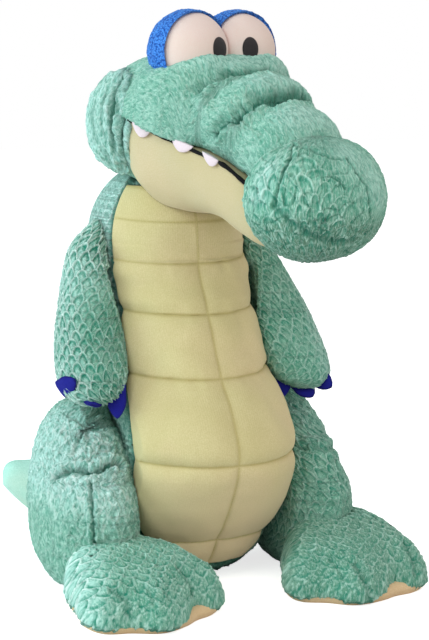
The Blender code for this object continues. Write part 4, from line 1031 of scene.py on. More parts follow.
# Reach along the head from its back, rise, tilt in degrees, half width, half height above and below, ring power.
HEAD_LENGTH, HEAD_BACK, HEAD_RISE, SNOUT_DROP = 250 * MM, 50 * MM, 94 * MM, 50 * MM
HEAD_SHARES = [
    (0.004, 0.02, 0, 0.04, 0.04, 0.04, 2.0), (0.012, 0.02, 0, 0.22, 0.18, 0.16, 2.0),
    (0.050, 0.02, 0, 0.56, 0.48, 0.44, 2.1), (0.130, 0.01, 0, 0.82, 0.76, 0.80, 2.2),
    (0.240, 0.00, 0, 0.96, 0.93, 0.93, 2.5), (0.380, 0.00, 3, 0.99, 0.95, 0.93, 2.9),
    (0.480, 0.04, 9, 0.92, 0.87, 0.87, 2.9), (0.560, 0.13, 18, 0.80, 0.69, 0.80, 2.5),
    (0.635, 0.18, 24, 0.71, 0.57, 0.72, 2.2), (0.710, 0.09, 27, 0.69, 0.53, 0.68, 2.2),
    (0.775, -0.12, 30, 0.66, 0.49, 0.62, 2.1), (0.845, -0.31, 30, 0.63, 0.46, 0.56, 2.1),
    (0.910, -0.56, 30, 0.57, 0.42, 0.50, 2.1), (0.955, -0.72, 30, 0.42, 0.30, 0.34, 2.0),
]
# Mouth line in the head's frame: reach and fall from its corner.
JAW_BACK, JAW_LENGTH, MOUTH_RISE, MOUTH_DROP = 36 * MM, 128 * MM, 100 * MM, 62 * MM
MOUTH_SHARES = [(-0.10, -0.05), (0.06, 0.05), (0.22, 0.18), (0.38, 0.30), (0.54, 0.40), (0.72, 0.53),
                (0.86, 0.70), (0.97, 0.88), (1.08, 1.08)]


def mouth_height(forward):
    line = smooth_rows(MOUTH_SHARES, 120)
    return np.interp(forward, JAW_BACK + JAW_LENGTH * line[:, 0], MOUTH_RISE - MOUTH_DROP * line[:, 1])


def off_the_dome(at, gap=0.9 * MM):
    """Moves points of the head's frame out of the torso's dome."""
    far = np.linalg.norm(at, axis=-1, keepdims=True)
    return np.where(far < DOME_R + gap, at / np.maximum(far, 1e-9) * (DOME_R + gap), at)


def head_skin(rows=340, columns=380):
    sizes = bpy.context.scene.crocodile_sizes
    table = smooth_rows(HEAD_SHARES, rows)
    turn = np.linspace(-math.pi / 2, 1.5 * math.pi, columns, endpoint=False)[None, :]
    reach, rise, tilt, width, above, below, power = (table[:, k][:, None] for k in range(7))
    tall = np.where(np.sin(turn) > 0, above, below) * sizes.head_half_height
    side, lift = ring_of(turn, width * sizes.head_half_width, tall, power)
    lean = np.radians(tilt)
    forward = reach * HEAD_LENGTH - HEAD_BACK + np.sin(lean) * lift
    up = HEAD_RISE + rise * SNOUT_DROP + np.cos(lean) * lift
    return Skin(np.stack([side, -forward, up], axis=-1)), table[:, 0][:, None], turn


class CROCODILE_OT_head(bpy.types.Operator):
    """The green head with the rolls of its snout"""
    bl_idname = "crocodile.head"
    bl_label = "Head"

    # The folds between the snout's rolls as the photograph shows them, from the near cheek to the far side.
    folds = [[(203, 90), (211, 85), (220, 81), (237, 78), (254, 76), (270, 76), (286, 79)],
             [(215, 135), (224, 127), (235, 119), (253, 108), (270, 104), (290, 102), (306, 103)]]

    # Where the stuffing is full on the photograph, beside the eye and at the rolls' near ends: line, width, rise in mm.
    fuller = [([(150, 80), (166, 77), (184, 74), (200, 70)], 15, 6.5),
              ([(204, 100), (206, 112), (209, 126), (214, 138)], 9, 2.4)]

    def crease(self, skin, reach, angle, fold):
        """Reach of a fold at each turn round the head, and its strength there."""
        placed = Skin(skin.at).place(NECK, HEAD_TURN)
        found = []
        for point in seam_on(placed, fold):
            near = np.argmin(np.linalg.norm(placed.at - point, axis=2))
            row, column = np.unravel_index(near, placed.at.shape[:2])
            found.append((angle[0, column], reach[row, 0]))
        found = sorted(found)
        nearest, last = found[0][0], found[-1][0]
        # The hidden side mirrors the near one.
        found += [(-turned, share) for turned, share in found if -turned < nearest - 0.15]
        found = np.array(sorted(found))
        line = np.interp(angle, found[:, 0], found[:, 1])
        return line, 1 - soft_step(np.abs(angle), last - 0.12, last + 0.30)

    def execute(self, context):
        sizes, cloth = context.scene.crocodile_sizes, context.scene.crocodile_cloth
        skin, reach, turn = head_skin()
        angle = turn - math.pi / 2
        arc = angle * 52 * MM
        held = np.zeros(skin.at.shape[:2])
        lines = [(0.455 + 0 * angle, 1 - soft_step(np.abs(angle), 0.9, 1.6))]
        lines += [self.crease(skin, reach, angle, fold) for fold in self.folds]
        lines += [(0.925 + 0 * angle, 1 - soft_step(np.abs(angle), 1.2, 1.8))]
        # The hidden side mirrors the near one where the stuffing is full.
        for line, width, rise in self.fuller:
            turned = Skin(skin.at).place(NECK, HEAD_TURN)
            full = np.exp(-(turned.near(seam_on(turned, line))[0] / (width * MM)) ** 2)
            skin.push(rise * MM * np.maximum(full, full[:, -np.arange(full.shape[1])]))
        over = (1 - soft_step(angle, 0.30, 1.05)) * (1 - soft_step(-angle, 0.9, 1.6))
        blunt = 0.65 + 0.9 * soft_step(angle, 0.2, 0.8)
        for (low, _), (high, _) in zip(lines, lines[1:]):
            part = np.clip((reach - low) / (high - low), 0, 1)
            skin.push(sizes.roll_puff * np.sin(math.pi * part) ** blunt * over)
            # Painted light on the crown of each roll.
            skin.painted_light_and_shade = np.maximum(skin.painted_light_and_shade, 0.55 * np.sin(math.pi * part) * over)
        for number, (line, strength) in enumerate(lines[1:-1]):
            wave = cloudy(np.stack([arc, 0 * arc, 0 * arc], axis=-1), 6 * MM, 41 + number) * 2.2 * MM
            ahead = (reach - line) * HEAD_LENGTH + wave
            behind = ahead < 0
            groove = np.where(behind, bell(ahead, 6.5 * MM), bell(ahead, 1.9 * MM))
            lap = bell(ahead - 4.5 * MM, 3.2 * MM)
            skin.push((2.0 * MM * lap - 5.8 * MM * groove) * strength)
            pulls = np.stack([np.broadcast_to(arc, ahead.shape), ahead * 0.16, 0 * ahead], axis=-1)
            skin.push(1.7 * MM * cloudy(pulls, 3.6 * MM, 43) * bell(ahead, 11 * MM) * strength)
            # Painted shade in each fold.
            skin.darken(strength * bell(ahead + 0.8 * MM, 2.0 * MM))
            # On the far side painted shade lies above each fold, with painted highlights in pale lines across it.
            far_side = 1 - 0.75 * soft_step(angle, 0.1, 0.75)
            band = soft_step(-ahead, -0.5 * MM, 2 * MM) * (1 - soft_step(-ahead, 4 * MM, 12 * MM)) * strength * far_side
            skin.darken(0.85 * band)
            skin.paint_highlight(0.85 * band * veins(pulls, 6.5 * MM, 44, 0.10))
            held = np.maximum(held, bell(ahead, 4 * MM) * strength)
        settle(skin, np.maximum(held, soft_step(np.abs(angle), 1.5, 1.9) + 0 * held), 0.035, 2.5 * MM)
        # The cheeks swell over the mouth, and the brow dips between them.
        forward, up = -skin.at[..., 1], skin.at[..., 2]
        swell = np.exp(-((forward - 62 * MM) / (38 * MM)) ** 2 - ((up - 84 * MM) / (22 * MM)) ** 2)
        skin.push(3.0 * MM * swell)
        # The upper lip lies along the mouth line and rolls in under itself.
        forward, up = -skin.at[..., 1], skin.at[..., 2]
        lip = mouth_height(forward) + 0.6 * MM
        front = soft_step(forward, JAW_BACK - 16 * MM, JAW_BACK)
        lip = np.where(front > 0, lip - (1 - front) * 60 * MM, -1)
        edge = bell(up - lip, 7 * MM) * (front > 0.9)
        skin.push(1.2 * MM * edge)
        below = skin.at[..., 2] < lip
        skin.at[..., 2] = np.where(below, lip, skin.at[..., 2])
        skin.at[..., 0] = np.where(below, skin.at[..., 0] * 0.96, skin.at[..., 0])
        skin.at = off_the_dome(skin.at)
        fine = np.where(below, 0.0, 1.0)
        # Painted light over the whole head, and painted shade on its far side, away from the window light.
        skin.painted_light_and_shade = np.maximum(skin.painted_light_and_shade, 0.16) - 0.35 * soft_step(-angle, 0.7, 1.3)
        side_of_snout = soft_step(np.abs(angle), 0.5, 1.2) * soft_step(reach, 0.30, 0.45)
        skin.emboss(cloth, 0.50, up=1, seed=42, fade=fine * (0.45 + 0.55 * side_of_snout), width=12 * MM, rough=0.45,
                    point=0.6)
        # Painted highlights in thin pale lines, stronger on the sides of the snout.
        skin.paint_highlight(0.45 * (0.4 + 0.6 * side_of_snout) * fine * veins(skin.at, 7 * MM, 45, 0.08))
        # Thin crinkles pressed in, with painted shade in them.
        crinkle = veins(skin.at, 8 * MM, 46, 0.06) * fine
        skin.push(-0.25 * MM * crinkle)
        skin.darken(0.40 * crinkle)
        skin.nap(cloth, 1.1, 43)
        skin.place(NECK, HEAD_TURN)
        build_skin("head_cloth", skin, cloth_material("plush"), "head", "head")
        return {"FINISHED"}


# Reach along the jaw, half width, depth below the mouth line.
JAW_SHARES = [(-0.22, 0.84, 1.00), (0.00, 0.985, 1.18), (0.18, 0.89, 1.13), (0.36, 0.77, 0.97), (0.54, 0.69, 0.91),
              (0.72, 0.64, 0.95), (0.88, 0.57, 0.86), (1.00, 0.46, 0.64)]
JAW_HALF_WIDTH, JAW_DEPTH = 62 * MM, 60 * MM


def jaw_skin(rows=140, columns=260, out=0.0):
    table = smooth_rows(JAW_SHARES, rows)
    reach, width, depth = (table[:, k][:, None] for k in range(3))
    turn = np.linspace(math.pi / 2, 2.5 * math.pi, columns, endpoint=False)[None, :]
    forward = JAW_BACK + JAW_LENGTH * reach
    tall = depth * JAW_DEPTH * np.where(np.sin(turn) < 0, 1.0, 0.3) + out
    side, lift = ring_of(turn, width * JAW_HALF_WIDTH + out, tall, 2.8)
    up = np.minimum(mouth_height(forward) + lift, mouth_height(forward) - 0.8 * MM)
    return Skin(np.stack([side, np.broadcast_to(-forward, side.shape), up], axis=-1))


class CROCODILE_OT_jaw(bpy.types.Operator):
    """The cream lower jaw and the dark felt strip between the lips"""
    bl_idname = "crocodile.jaw"
    bl_label = "Jaw"

    def execute(self, context):
        skin = jaw_skin()
        forward, up = -skin.at[..., 1], skin.at[..., 2]
        # Gathers run forward from the cheek seam, and soft dents cross the throat.
        gather = cloudy(skin.at * (0.6, 0.22, 1.0), 10 * MM, 51) * bell(forward - JAW_BACK, 26 * MM)
        skin.push(1.6 * MM * gather + 1.0 * MM * cloudy(skin.at, 32 * MM, 52))
        lip = mouth_height(-skin.at[..., 1]) - 0.8 * MM
        skin.at[..., 2] = np.minimum(skin.at[..., 2], lip)
        skin.at = off_the_dome(skin.at)
        under = lip - skin.at[..., 2]
        # Painted shade on the front of the jaw, just below the lip.
        shaded = 0.42 * soft_step(forward, 60 * MM, 95 * MM) * bell(under, 26 * MM)
        skin.darken(shaded)
        skin.place(NECK, HEAD_TURN)
        build_skin("jaw_velour", skin, cloth_material("jaw"), "head", "jaw")
        self.lining()
        return {"FINISHED"}

    def lining(self):
        """A felt cord that follows the mouth from one corner round the front to the other."""
        reach = np.linspace(0.015, 0.985, 120)
        table = smooth_rows(JAW_SHARES, 200)
        forward = JAW_BACK + JAW_LENGTH * reach
        width = np.interp(reach, table[:, 0], table[:, 1]) * JAW_HALF_WIDTH + 1.0 * MM
        height = mouth_height(forward) + (2.4 * soft_step(reach, 0.50, 0.85) - 1.1) * MM
        near = np.stack([-width, -forward, height], axis=-1)
        far = near[::-1] * (-1, 1, 1)
        line = np.concatenate([near, far])
        way = np.gradient(line, axis=0)
        way /= np.linalg.norm(way, axis=1, keepdims=True)
        up = np.array((0.0, 0.0, 1.0))
        out = np.cross(way, up)
        out /= np.linalg.norm(out, axis=1, keepdims=True)
        lift = np.cross(out, way)
        turn = np.linspace(0, 2 * math.pi, 14, endpoint=False)[None, :, None]
        radius = 1.6 * MM * (1 + 0.35 * cloudy(line, 6 * MM, 53))[:, None, None]
        points = line[:, None] + (out[:, None] * np.cos(turn) * 1.25 + lift[:, None] * np.sin(turn)) * radius
        skin = Skin(points)
        skin.place(NECK, HEAD_TURN)
        build_skin("mouth_felt", skin, cloth_material("mouth"), "head", "mouth_lining")


NOSE_CENTRE = np.array((0.0, -194.0, 42.5)) * MM
NOSE_RADII = np.array((54.5, 44.5, 45.0)) * MM


class CROCODILE_OT_nose(bpy.types.Operator):
    """The big stuffed bulb of the snout, with its front panel"""
    bl_idname = "crocodile.nose"
    bl_label = "Nose"

    # Each run of the front panel's seam as the photograph shows it: its line, depth, width, shade and gathers in mm.
    seams = [
        ([(294, 146), (290, 158), (284, 172), (280, 186), (277, 196), (274, 206)], 2.0, 1.3, 0.9, 1.0),
        ([(294, 146), (302, 148), (310, 149), (320, 154), (333, 158), (347, 160)], 1.1, 1.1, 0.6, 0.8),
        ([(347, 160), (357, 174), (365, 186), (368, 200), (369, 217)], 1.7, 1.1, 0.9, 0.6),
        ([(276, 207), (290, 221), (305, 231), (320, 239), (336, 241), (352, 240)], 1.6, 3.4, 0.65, 1.2),
        ([(330, 176), (338, 181), (345, 189)], 1.2, 1.1, 0.7, 0.5),
    ]

    def execute(self, context):
        cloth = context.scene.crocodile_cloth
        rows, columns = 270, 360
        angle = np.linspace(0.012, math.pi - 0.012, rows)[:, None]
        turn = np.linspace(math.pi / 2, 2.5 * math.pi, columns, endpoint=False)[None, :]
        # The bulb's poles point forwards and back, so that rows of scales run round it.
        ring = np.sin(angle) ** 0.94
        side, up = ring_of(turn, ring, ring, 2.15)
        forward = np.broadcast_to(np.cos(angle), side.shape)
        forward = np.sign(forward) * np.abs(forward) ** 0.94
        at = np.stack([side * NOSE_RADII[0], -forward * NOSE_RADII[1], up * NOSE_RADII[2]], axis=-1)
        at += NOSE_CENTRE
        skin = Skin(at)
        ahead = at - NOSE_CENTRE
        skin.flat = (np.arctan2(ahead[..., 0], -ahead[..., 1]) * 50 * MM,
                     np.arctan2(ahead[..., 2], np.hypot(ahead[..., 0], ahead[..., 1])) * 46 * MM)
        skin.place(NECK, HEAD_TURN)
        skin.push(1.1 * MM * cloudy(skin.at, 24 * MM, 61))
        held = np.zeros(skin.at.shape[:2])
        for line, depth, width, shade, gather in self.seams:
            seam = seam_on(skin, line)
            skin.tuck_in(seam, depth * MM, width * MM, shade, 0.35, gather * MM, pitch=4 * MM)
            held = np.maximum(held, bell(skin.near(seam)[0], 3 * MM))
        settle(skin, held, 0.05, 2.0 * MM)
        # Painted highlight on the side of the bulb that faces the window light, painted light where the pile is smooth,
        # and painted shade on its underside.
        lit = seam_on(skin, [(268, 168), (262, 182), (257, 198)])
        skin.painted_light_and_shade = 0.6 * bell(skin.near(lit)[0], 10 * MM)
        smooth = seam_on(skin, [(345, 150), (368, 170), (380, 205)])
        calm = 1 - 0.75 * bell(skin.near(smooth)[0], 17 * MM)
        low = soft_step(-ahead[..., 2], -4 * MM, 34 * MM)
        skin.painted_light_and_shade = np.maximum(skin.painted_light_and_shade, 0.45 * (1 - calm)) - 1.6 * low + 0.02
        loops = calm * (0.55 + 0.45 * soft_step(-skin.flat[0], 0.0, 25 * MM))
        skin.emboss(cloth, 1.05, up=1, seed=63, rough=0.85, width=12 * MM, fade=loops, point=0.35)
        # Painted highlights in thin pale lines.
        skin.paint_highlight(0.45 * calm * veins(skin.at * (1, 1, 0.75), 6.5 * MM, 65, 0.09))
        # Crinkles pressed in, with painted shade in them, darker on the underside.
        crinkle = veins(skin.at * (1, 1, 0.8), 8.5 * MM, 66, 0.09) * calm
        skin.push(-0.8 * MM * crinkle)
        skin.darken((0.50 + 0.45 * low) * crinkle)
        skin.nap(cloth, 1.3, 64)
        build_skin("nose_cloth", skin, cloth_material("plush"), "head", "nose")
        return {"FINISHED"}


class CROCODILE_OT_cheeks(bpy.types.Operator):
    """The gathered cheeks behind the corners of the mouth"""
    bl_idname = "crocodile.cheeks"
    bl_label = "Cheeks"

    # Each fold on the photograph: its line, depth and width in mm, and shade.
    folds = [
        ([(134, 66), (131, 83), (129, 100), (124, 120), (121, 138), (123, 152), (128, 166)], 3.4, 2.0, 0.95),
        ([(133, 68), (123, 79), (115, 92), (112, 108), (112, 127), (116, 147), (123, 168)], 3.6, 2.0, 0.95),
        ([(124, 72), (110, 88), (103, 104), (101, 122), (106, 142)], 1.4, 2.2, 0.5),
        ([(128, 74), (121, 90), (118, 108), (118, 130)], 1.3, 1.5, 0.55),
    ]

    def execute(self, context):
        cloth = context.scene.crocodile_cloth
        lines = None
        for side, tag in ((-1, "r"), (1, "l")):
            rows, columns = 170, 220
            angle = np.linspace(0.02, math.pi - 0.02, rows)[:, None]
            turn = full_turn(columns)
            ring = np.sin(angle)
            at = np.stack([ring * np.cos(turn) * 24, ring * np.sin(turn) * 34,
                           np.broadcast_to(-np.cos(angle) * 41, (rows, columns))], axis=-1) * MM
            at += np.array((49.0 * side, -9.0, 95.0)) * MM
            skin = Skin(at)
            skin.place(NECK, HEAD_TURN)
            if lines is None:
                lines = [self.to_head(seam_on(skin, line)) for line, *_ in self.folds]
            for line, (_, depth, width, shade) in zip(lines, self.folds):
                here = [np.array(p) * (1 if side < 0 else -1, 1, 1) for p in line]
                path = Skin(np.array([here])).place(NECK, HEAD_TURN).at[0]
                skin.tuck_in(path, depth * MM, width * MM, shade, 0.5, 0.6 * MM)
            # Fine gathers run down along the folds, with painted shade in their hollows and painted light over the
            # cheek, paler on their ridges.
            around = cloudy(np.stack([skin.at[..., 0], skin.at[..., 1], skin.at[..., 2] * 0.16], axis=-1), 5.5 * MM, 71)
            skin.push(1.5 * MM * around)
            skin.darken(0.5 * soft_step(-around, 0.25, 0.7))
            skin.painted_light_and_shade = 0.75 + 0.50 * soft_step(around, 0.0, 0.6)
            skin.emboss(cloth, 0.6, up=-1, seed=72 + side, rough=0.3)
            skin.nap(cloth, 1.4, 73)
            build_skin("cheek_cloth_" + tag, skin, cloth_material("plush"), "head", "cheek_" + tag)
        return {"FINISHED"}

    def to_head(self, points):
        return [spin(-HEAD_TURN) @ (np.asarray(p) - NECK) for p in points]


EYE_OFFSET, EYE_REACH, EYE_RISE, LID_FORWARD = 23.5 * MM, 66 * MM, 151 * MM, 10 * MM


class CROCODILE_OT_eyes(bpy.types.Operator):
    """The two stuffed eyeballs, pressed together, with their stitched pupils"""
    bl_idname = "crocodile.eyes"
    bl_label = "Eyes"

    def execute(self, context):
        radius = context.scene.crocodile_sizes.eye_radius
        for side, tag in ((1, "l"), (-1, "r")):
            centre = np.array((EYE_OFFSET * side, -EYE_REACH, EYE_RISE))
            rows, columns = 110, 150
            angle = np.linspace(0.02, math.pi - 0.02, rows)[:, None]
            turn = full_turn(columns)
            at = np.stack([np.sin(angle) * np.cos(turn), np.sin(angle) * np.sin(turn),
                           np.broadcast_to(-np.cos(angle), (rows, columns))], axis=-1) * radius + centre
            skin = Skin(at)
            wrinkle = cloudy(skin.at * (1, 1, 0.5), 17 * MM, 81) * 0.7 * MM
            base = np.exp(-((skin.at[..., 2] - (EYE_RISE - 0.55 * radius)) / (7 * MM)) ** 2)
            gather = cloudy(skin.at * (1, 1, 0.2), 6 * MM, 82) * 0.7 * MM
            skin.push(wrinkle + gather * base)
            gap = 0.25 * MM
            inward = skin.at[..., 0] * side < gap
            # Painted shade where the two eyeballs press together.
            skin.painted_shade = bell(skin.at[..., 0] * side - gap, 0.9 * MM) * 0.8
            skin.at[..., 0] = np.where(inward, gap * side, skin.at[..., 0])
            skin.place(NECK, HEAD_TURN)
            build_skin("eyeball_" + tag, skin, cloth_material("eye"), "head", "eye_" + tag)
            self.pupil(centre, side, tag, radius)
        return {"FINISHED"}

    def pupil(self, centre, side, tag, radius):
        """An oval of satin stitch that lies on the eyeball."""
        rows, columns = 16, 64
        tilt = math.radians(-8 if side < 0 else 0)
        toe_in = math.radians(17) * side
        size = np.linspace(0.06, 1.0, rows)[:, None]
        turn = full_turn(columns)
        across = np.cos(turn) * size * (8.0 if side < 0 else 6.6) * MM
        up = np.sin(turn) * size * 9.2 * MM
        across, up = across * math.cos(tilt) - up * math.sin(tilt), across * math.sin(tilt) + up * math.cos(tilt)
        across, up = across - (0.8 * MM if side < 0 else 0.0), up + 2.0 * MM
        ahead = np.sqrt(radius ** 2 - across ** 2 - up ** 2)
        rise = 1.2 * MM * np.sqrt(np.clip(1 - size ** 4, 0, 1))
        outer = np.stack([across, -ahead, up], axis=-1) * (1 + rise / radius + 0.3 * MM / radius)[..., None]
        inner = np.stack([across, -ahead, up], axis=-1)[::-1] * (1 - 0.5 * MM / radius)
        at = np.concatenate([outer, inner])
        at = at @ spin(-toe_in).T + centre
        skin = Skin(at)
        skin.place(NECK, HEAD_TURN)
        thing = build_skin("pupil_stitch_" + tag, skin, cloth_material("pupil"), "head", "pupil_" + tag)
        lay = thing.data.attributes["lay"]
        oval = np.stack([across, up, 0 * up], axis=-1)
        flat = np.concatenate([oval, oval[::-1]])
        flat = np.concatenate([flat.reshape(-1, 3), np.zeros((2, 3))]).astype(np.float32)
        lay.data.foreach_set("vector", flat.ravel())


class CROCODILE_OT_eyelids(bpy.types.Operator):
    """The blue terry lids behind the eyeballs"""
    bl_idname = "crocodile.eyelids"
    bl_label = "Eyelids"

    def execute(self, context):
        sizes = context.scene.crocodile_sizes
        for side, tag in ((1, "l"), (-1, "r")):
            centre = np.array((EYE_OFFSET * side, -EYE_REACH, EYE_RISE))
            rows, columns = 120, 210
            # Rings round the line that the eye looks along, from behind to the lid's rolled edge and back inside.
            edge = math.pi / 2 + math.asin(LID_FORWARD / sizes.eye_radius)
            angle = np.concatenate([np.linspace(0.02, edge, rows - 22), np.linspace(edge, edge - 0.25, 22)])[:, None]
            inside = np.arange(rows)[:, None] >= rows - 22
            part = np.clip((np.arange(rows)[:, None] - (rows - 22)) / 8, 0, 1)
            outer_r = sizes.eye_radius + sizes.lid_thickness
            radius = np.where(inside, outer_r - (sizes.lid_thickness + 0.8 * MM) * part, outer_r)
            roll = 0.3 * MM * bell((angle - edge) * sizes.eye_radius, 2.6 * MM) * (1 - part)
            radius = radius + roll
            turn = full_turn(columns)
            at = np.stack([np.sin(angle) * np.cos(turn) * radius, np.cos(angle) * radius + 0 * turn,
                           np.sin(angle) * np.sin(turn) * radius], axis=-1) + centre
            skin = Skin(at)
            loops = cloudy(skin.at, 1.5 * MM, 91) + 0.8 * cloudy(skin.at, 3.1 * MM, 92)
            skin.push(0.42 * MM * loops * (~inside))
            gap = 0.25 * MM
            skin.at[..., 0] = np.where(skin.at[..., 0] * side < gap, gap * side, skin.at[..., 0])
            skin.place(NECK, HEAD_TURN)
            build_skin("eyelid_terry_" + tag, skin, cloth_material("terry"), "head", "eyelid_" + tag)
        return {"FINISHED"}


class CROCODILE_OT_teeth(bpy.types.Operator):
    """Felt teeth over the lower lip, three on each side"""
    bl_idname = "crocodile.teeth"
    bl_label = "Teeth"

    # Reach along the mouth of each tooth's back and front, how far forward its tip hangs, and its length.
    places = [(0.060, 0.205, 0.40, 12.0 * MM), (0.350, 0.515, 0.35, 8.5 * MM), (0.590, 0.725, 0.50, 8.0 * MM)]

    def execute(self, context):
        table = smooth_rows(JAW_SHARES, 200)
        for side, tag in ((1, "l"), (-1, "r")):
            for number, (start, end, hang, length) in enumerate(self.places, 1):
                rows, columns = 26, 40
                level = np.linspace(0.0, 0.985, rows)[:, None]
                turn = full_turn(columns)
                narrow = np.sqrt(np.clip(1 - level ** 2.2, 0, 1)) * (1 - 0.28 * level)
                middle = start + (end - start) * (0.5 - (0.5 - hang) * level)
                reach = middle + np.cos(turn) * narrow * (end - start) / 2
                depth = level * length
                forward = JAW_BACK + JAW_LENGTH * reach
                width = np.interp(reach, table[:, 0], table[:, 1]) * JAW_HALF_WIDTH
                bulge = np.cos(np.clip(depth / (46 * MM), 0, 1)) ** 0.5
                thick = 2.1 * MM * np.sin(turn) * (0.35 + 0.65 * narrow)
                lateral = (width * bulge + 2.8 * MM + thick) * side
                at = np.stack([lateral, -forward + 0 * turn, mouth_height(forward) + 2.6 * MM - depth], axis=-1)
                skin = Skin(at)
                skin.place(NECK, HEAD_TURN)
                build_skin(f"tooth_felt_{tag}{number}", skin, cloth_material("tooth"), "head", f"tooth_{tag}{number}")
        return {"FINISHED"}


# Arms. Way from shoulder to fingertips, half width and half depth.
ARM_SHARES = [(-0.20, 0.04, 0.05), (-0.16, 0.17, 0.26), (-0.10, 0.34, 0.42), (-0.05, 0.47, 0.54),
              (0.08, 0.61, 0.70), (0.30, 0.82, 0.86), (0.55, 0.98, 0.94), (0.78, 1.02, 1.00),
              (0.92, 0.82, 0.84), (0.985, 0.42, 0.46), (0.998, 0.06, 0.06)]
ARM_HALF_WIDTH, ARM_HALF_DEPTH, ARM_OUT, ARM_FORWARD = 28 * MM, 28 * MM, 20 * MM, 60 * MM


def arm_centre(share, side):
    length = bpy.context.scene.crocodile_sizes.arm_length
    bend = np.where(share > 0, np.sin(share * math.pi / 2), share)
    out = np.where(share > 0, share, 2.6 * share)
    return np.stack([side * (ARM_HALF_WIDTH * 0.45 + ARM_OUT * out), -ARM_FORWARD * share * (0.6 + 0.4 * bend),
                     -length * share], axis=-1)


class CROCODILE_OT_arms(bpy.types.Operator):
    """The hanging arms"""
    bl_idname = "crocodile.arms"
    bl_label = "Arms"

    def execute(self, context):
        cloth = context.scene.crocodile_cloth
        length = context.scene.crocodile_sizes.arm_length
        for side, tag in ((1, "l"), (-1, "r")):
            rows, columns = 280, 270
            table = even_rows(ARM_SHARES, rows, lambda r: np.stack([r[:, 0] * length, r[:, 1] * ARM_HALF_WIDTH], -1))
            share, width, depth = (table[:, k] for k in range(3))
            turn = np.linspace(0, 2 * math.pi, columns, endpoint=False) + (math.pi if side > 0 else 0)
            side_way, behind = ring_of(turn[None, :], width[:, None] * ARM_HALF_WIDTH, depth[:, None] * ARM_HALF_DEPTH,
                                       2.0)
            centre = arm_centre(share, side)[:, None]
            at = centre + np.stack([side_way, behind, np.zeros_like(behind)], axis=-1)
            skin = Skin(at + SHOULDER * (side, 1, 1))
            skin.push(1.5 * MM * cloudy(skin.at * (1, 1, 0.7), 30 * MM, 101 + side))
            self.against_torso(skin, side)
            # Painted light on the right arm's top and outer side, which face the window light, and on the left arm's
            # outer side; painted shade on the rest of both arms.
            high = soft_step(skin.at[..., 2], 200 * MM, 262 * MM)
            outer = soft_step(skin.at[..., 0] * side, 86 * MM, 112 * MM)
            skin.painted_light_and_shade = 0.95 * high + 0.85 * outer - 0.30 if side < 0 else 0.70 * outer - 0.15
            skin.emboss(cloth, 1.3, up=-1, seed=102 + side, rough=0.42)
            skin.nap(cloth, 1.0, 103)
            build_skin("arm_cloth_" + tag, skin, cloth_material("plush"), "arm_" + tag, "arm_" + tag)
        return {"FINISHED"}

    def against_torso(self, skin, side):
        """Keeps the arm off the body, except where it is sewn on."""
        near = np.hypot(skin.at[..., 1] - SHOULDER[1], skin.at[..., 2] - SHOULDER[2])
        width = torso_sections(np.clip(skin.at[..., 2].ravel(), 0, 326 * MM))[0].reshape(near.shape)
        sewn = soft_step(near, 19 * MM, 26 * MM)
        limit = (SHOULDER[0] + 0.4 * MM) * (1 - sewn) + np.maximum(width + 3.5 * MM, 0) * sewn
        front = soft_step(skin.at[..., 1], -60 * MM, 0.0)
        limit = np.where(sewn > 0, limit * np.maximum(front, 0.0), limit)
        out = skin.at[..., 0] * side
        skin.at[..., 0] = side * np.maximum(out, limit)


class CROCODILE_OT_claws(bpy.types.Operator):
    """Blue felt claws along the edge of each hand"""
    bl_idname = "crocodile.claws"
    bl_label = "Claws"

    # On the hand as shares of its half width, the way each claw points, and the way of its root; outwards, back, up.
    places = {
        "l": [((-0.54, -0.02, -0.45), (-0.34, -0.10, -0.93), (0.87, -0.42, -0.28)),
              ((0.00, -0.37, -0.58), (0.08, -0.92, -0.39), (0.85, -0.14, 0.51)),
              ((0.47, -0.55, -0.34), (0.19, -0.93, -0.32), (0.61, -0.14, 0.78))],
        "r": [((-0.47, -0.60, -0.42), (0.06, -0.24, -0.97), (-0.91, -0.41, 0.05)),
              ((0.25, -0.59, -0.44), (0.42, -0.90, -0.07), (-0.88, -0.39, -0.28)),
              ((0.88, -0.26, 0.01), (-0.05, -0.92, 0.40), (-0.47, -0.33, -0.82))],
    }

    def execute(self, context):
        for side, tag in ((1, "l"), (-1, "r")):
            outwards = np.array((side, 1.0, 1.0))
            for number, (place, ahead, across) in enumerate(self.places[tag], 1):
                ahead, across = outwards * ahead / np.linalg.norm(ahead), outwards * across
                across = across - ahead * (ahead @ across)
                across = across / np.linalg.norm(across)
                thick = np.cross(ahead, across)
                sunk, length = 0.40 * ARM_HALF_WIDTH, 15.5 * MM + 0.40 * ARM_HALF_WIDTH
                rows, columns = 54, 60
                level = np.linspace(0, 0.995, rows)[:, None]
                turn = full_turn(columns)
                beyond = np.clip((level - 0.42) / 0.58, 0, 1)
                taper = np.clip(1 - beyond ** 1.8, 0, 1) ** 0.72
                wide, deep = ring_of(turn, taper * 7.8 * MM, (0.45 + 0.55 * taper) * 2.5 * MM * taper ** 0.3, 2.4)
                root = arm_centre(np.array(0.86), side) + outwards * place * ARM_HALF_WIDTH - ahead * sunk
                curl = 1.4 * MM * beyond ** 2
                at = (root + ahead * level[..., None] * length + across * wide[..., None]
                      + thick * (deep + curl)[..., None])
                skin = Skin(at + SHOULDER * (side, 1, 1))
                skin.push(0.25 * MM * cloudy(skin.at, 3 * MM, 105 + number))
                # Painted shade along the claw's thin edges and at its tip.
                rim = np.maximum(np.abs(np.cos(turn)) ** 6, soft_step(beyond, 0.86, 0.97))
                skin.painted_shade = 0.75 * rim + 0 * level
                build_skin(f"claw_felt_{tag}{number}", skin, cloth_material("claw"), "arm_" + tag,
                           f"claw_{tag}{number}")
        return {"FINISHED"}


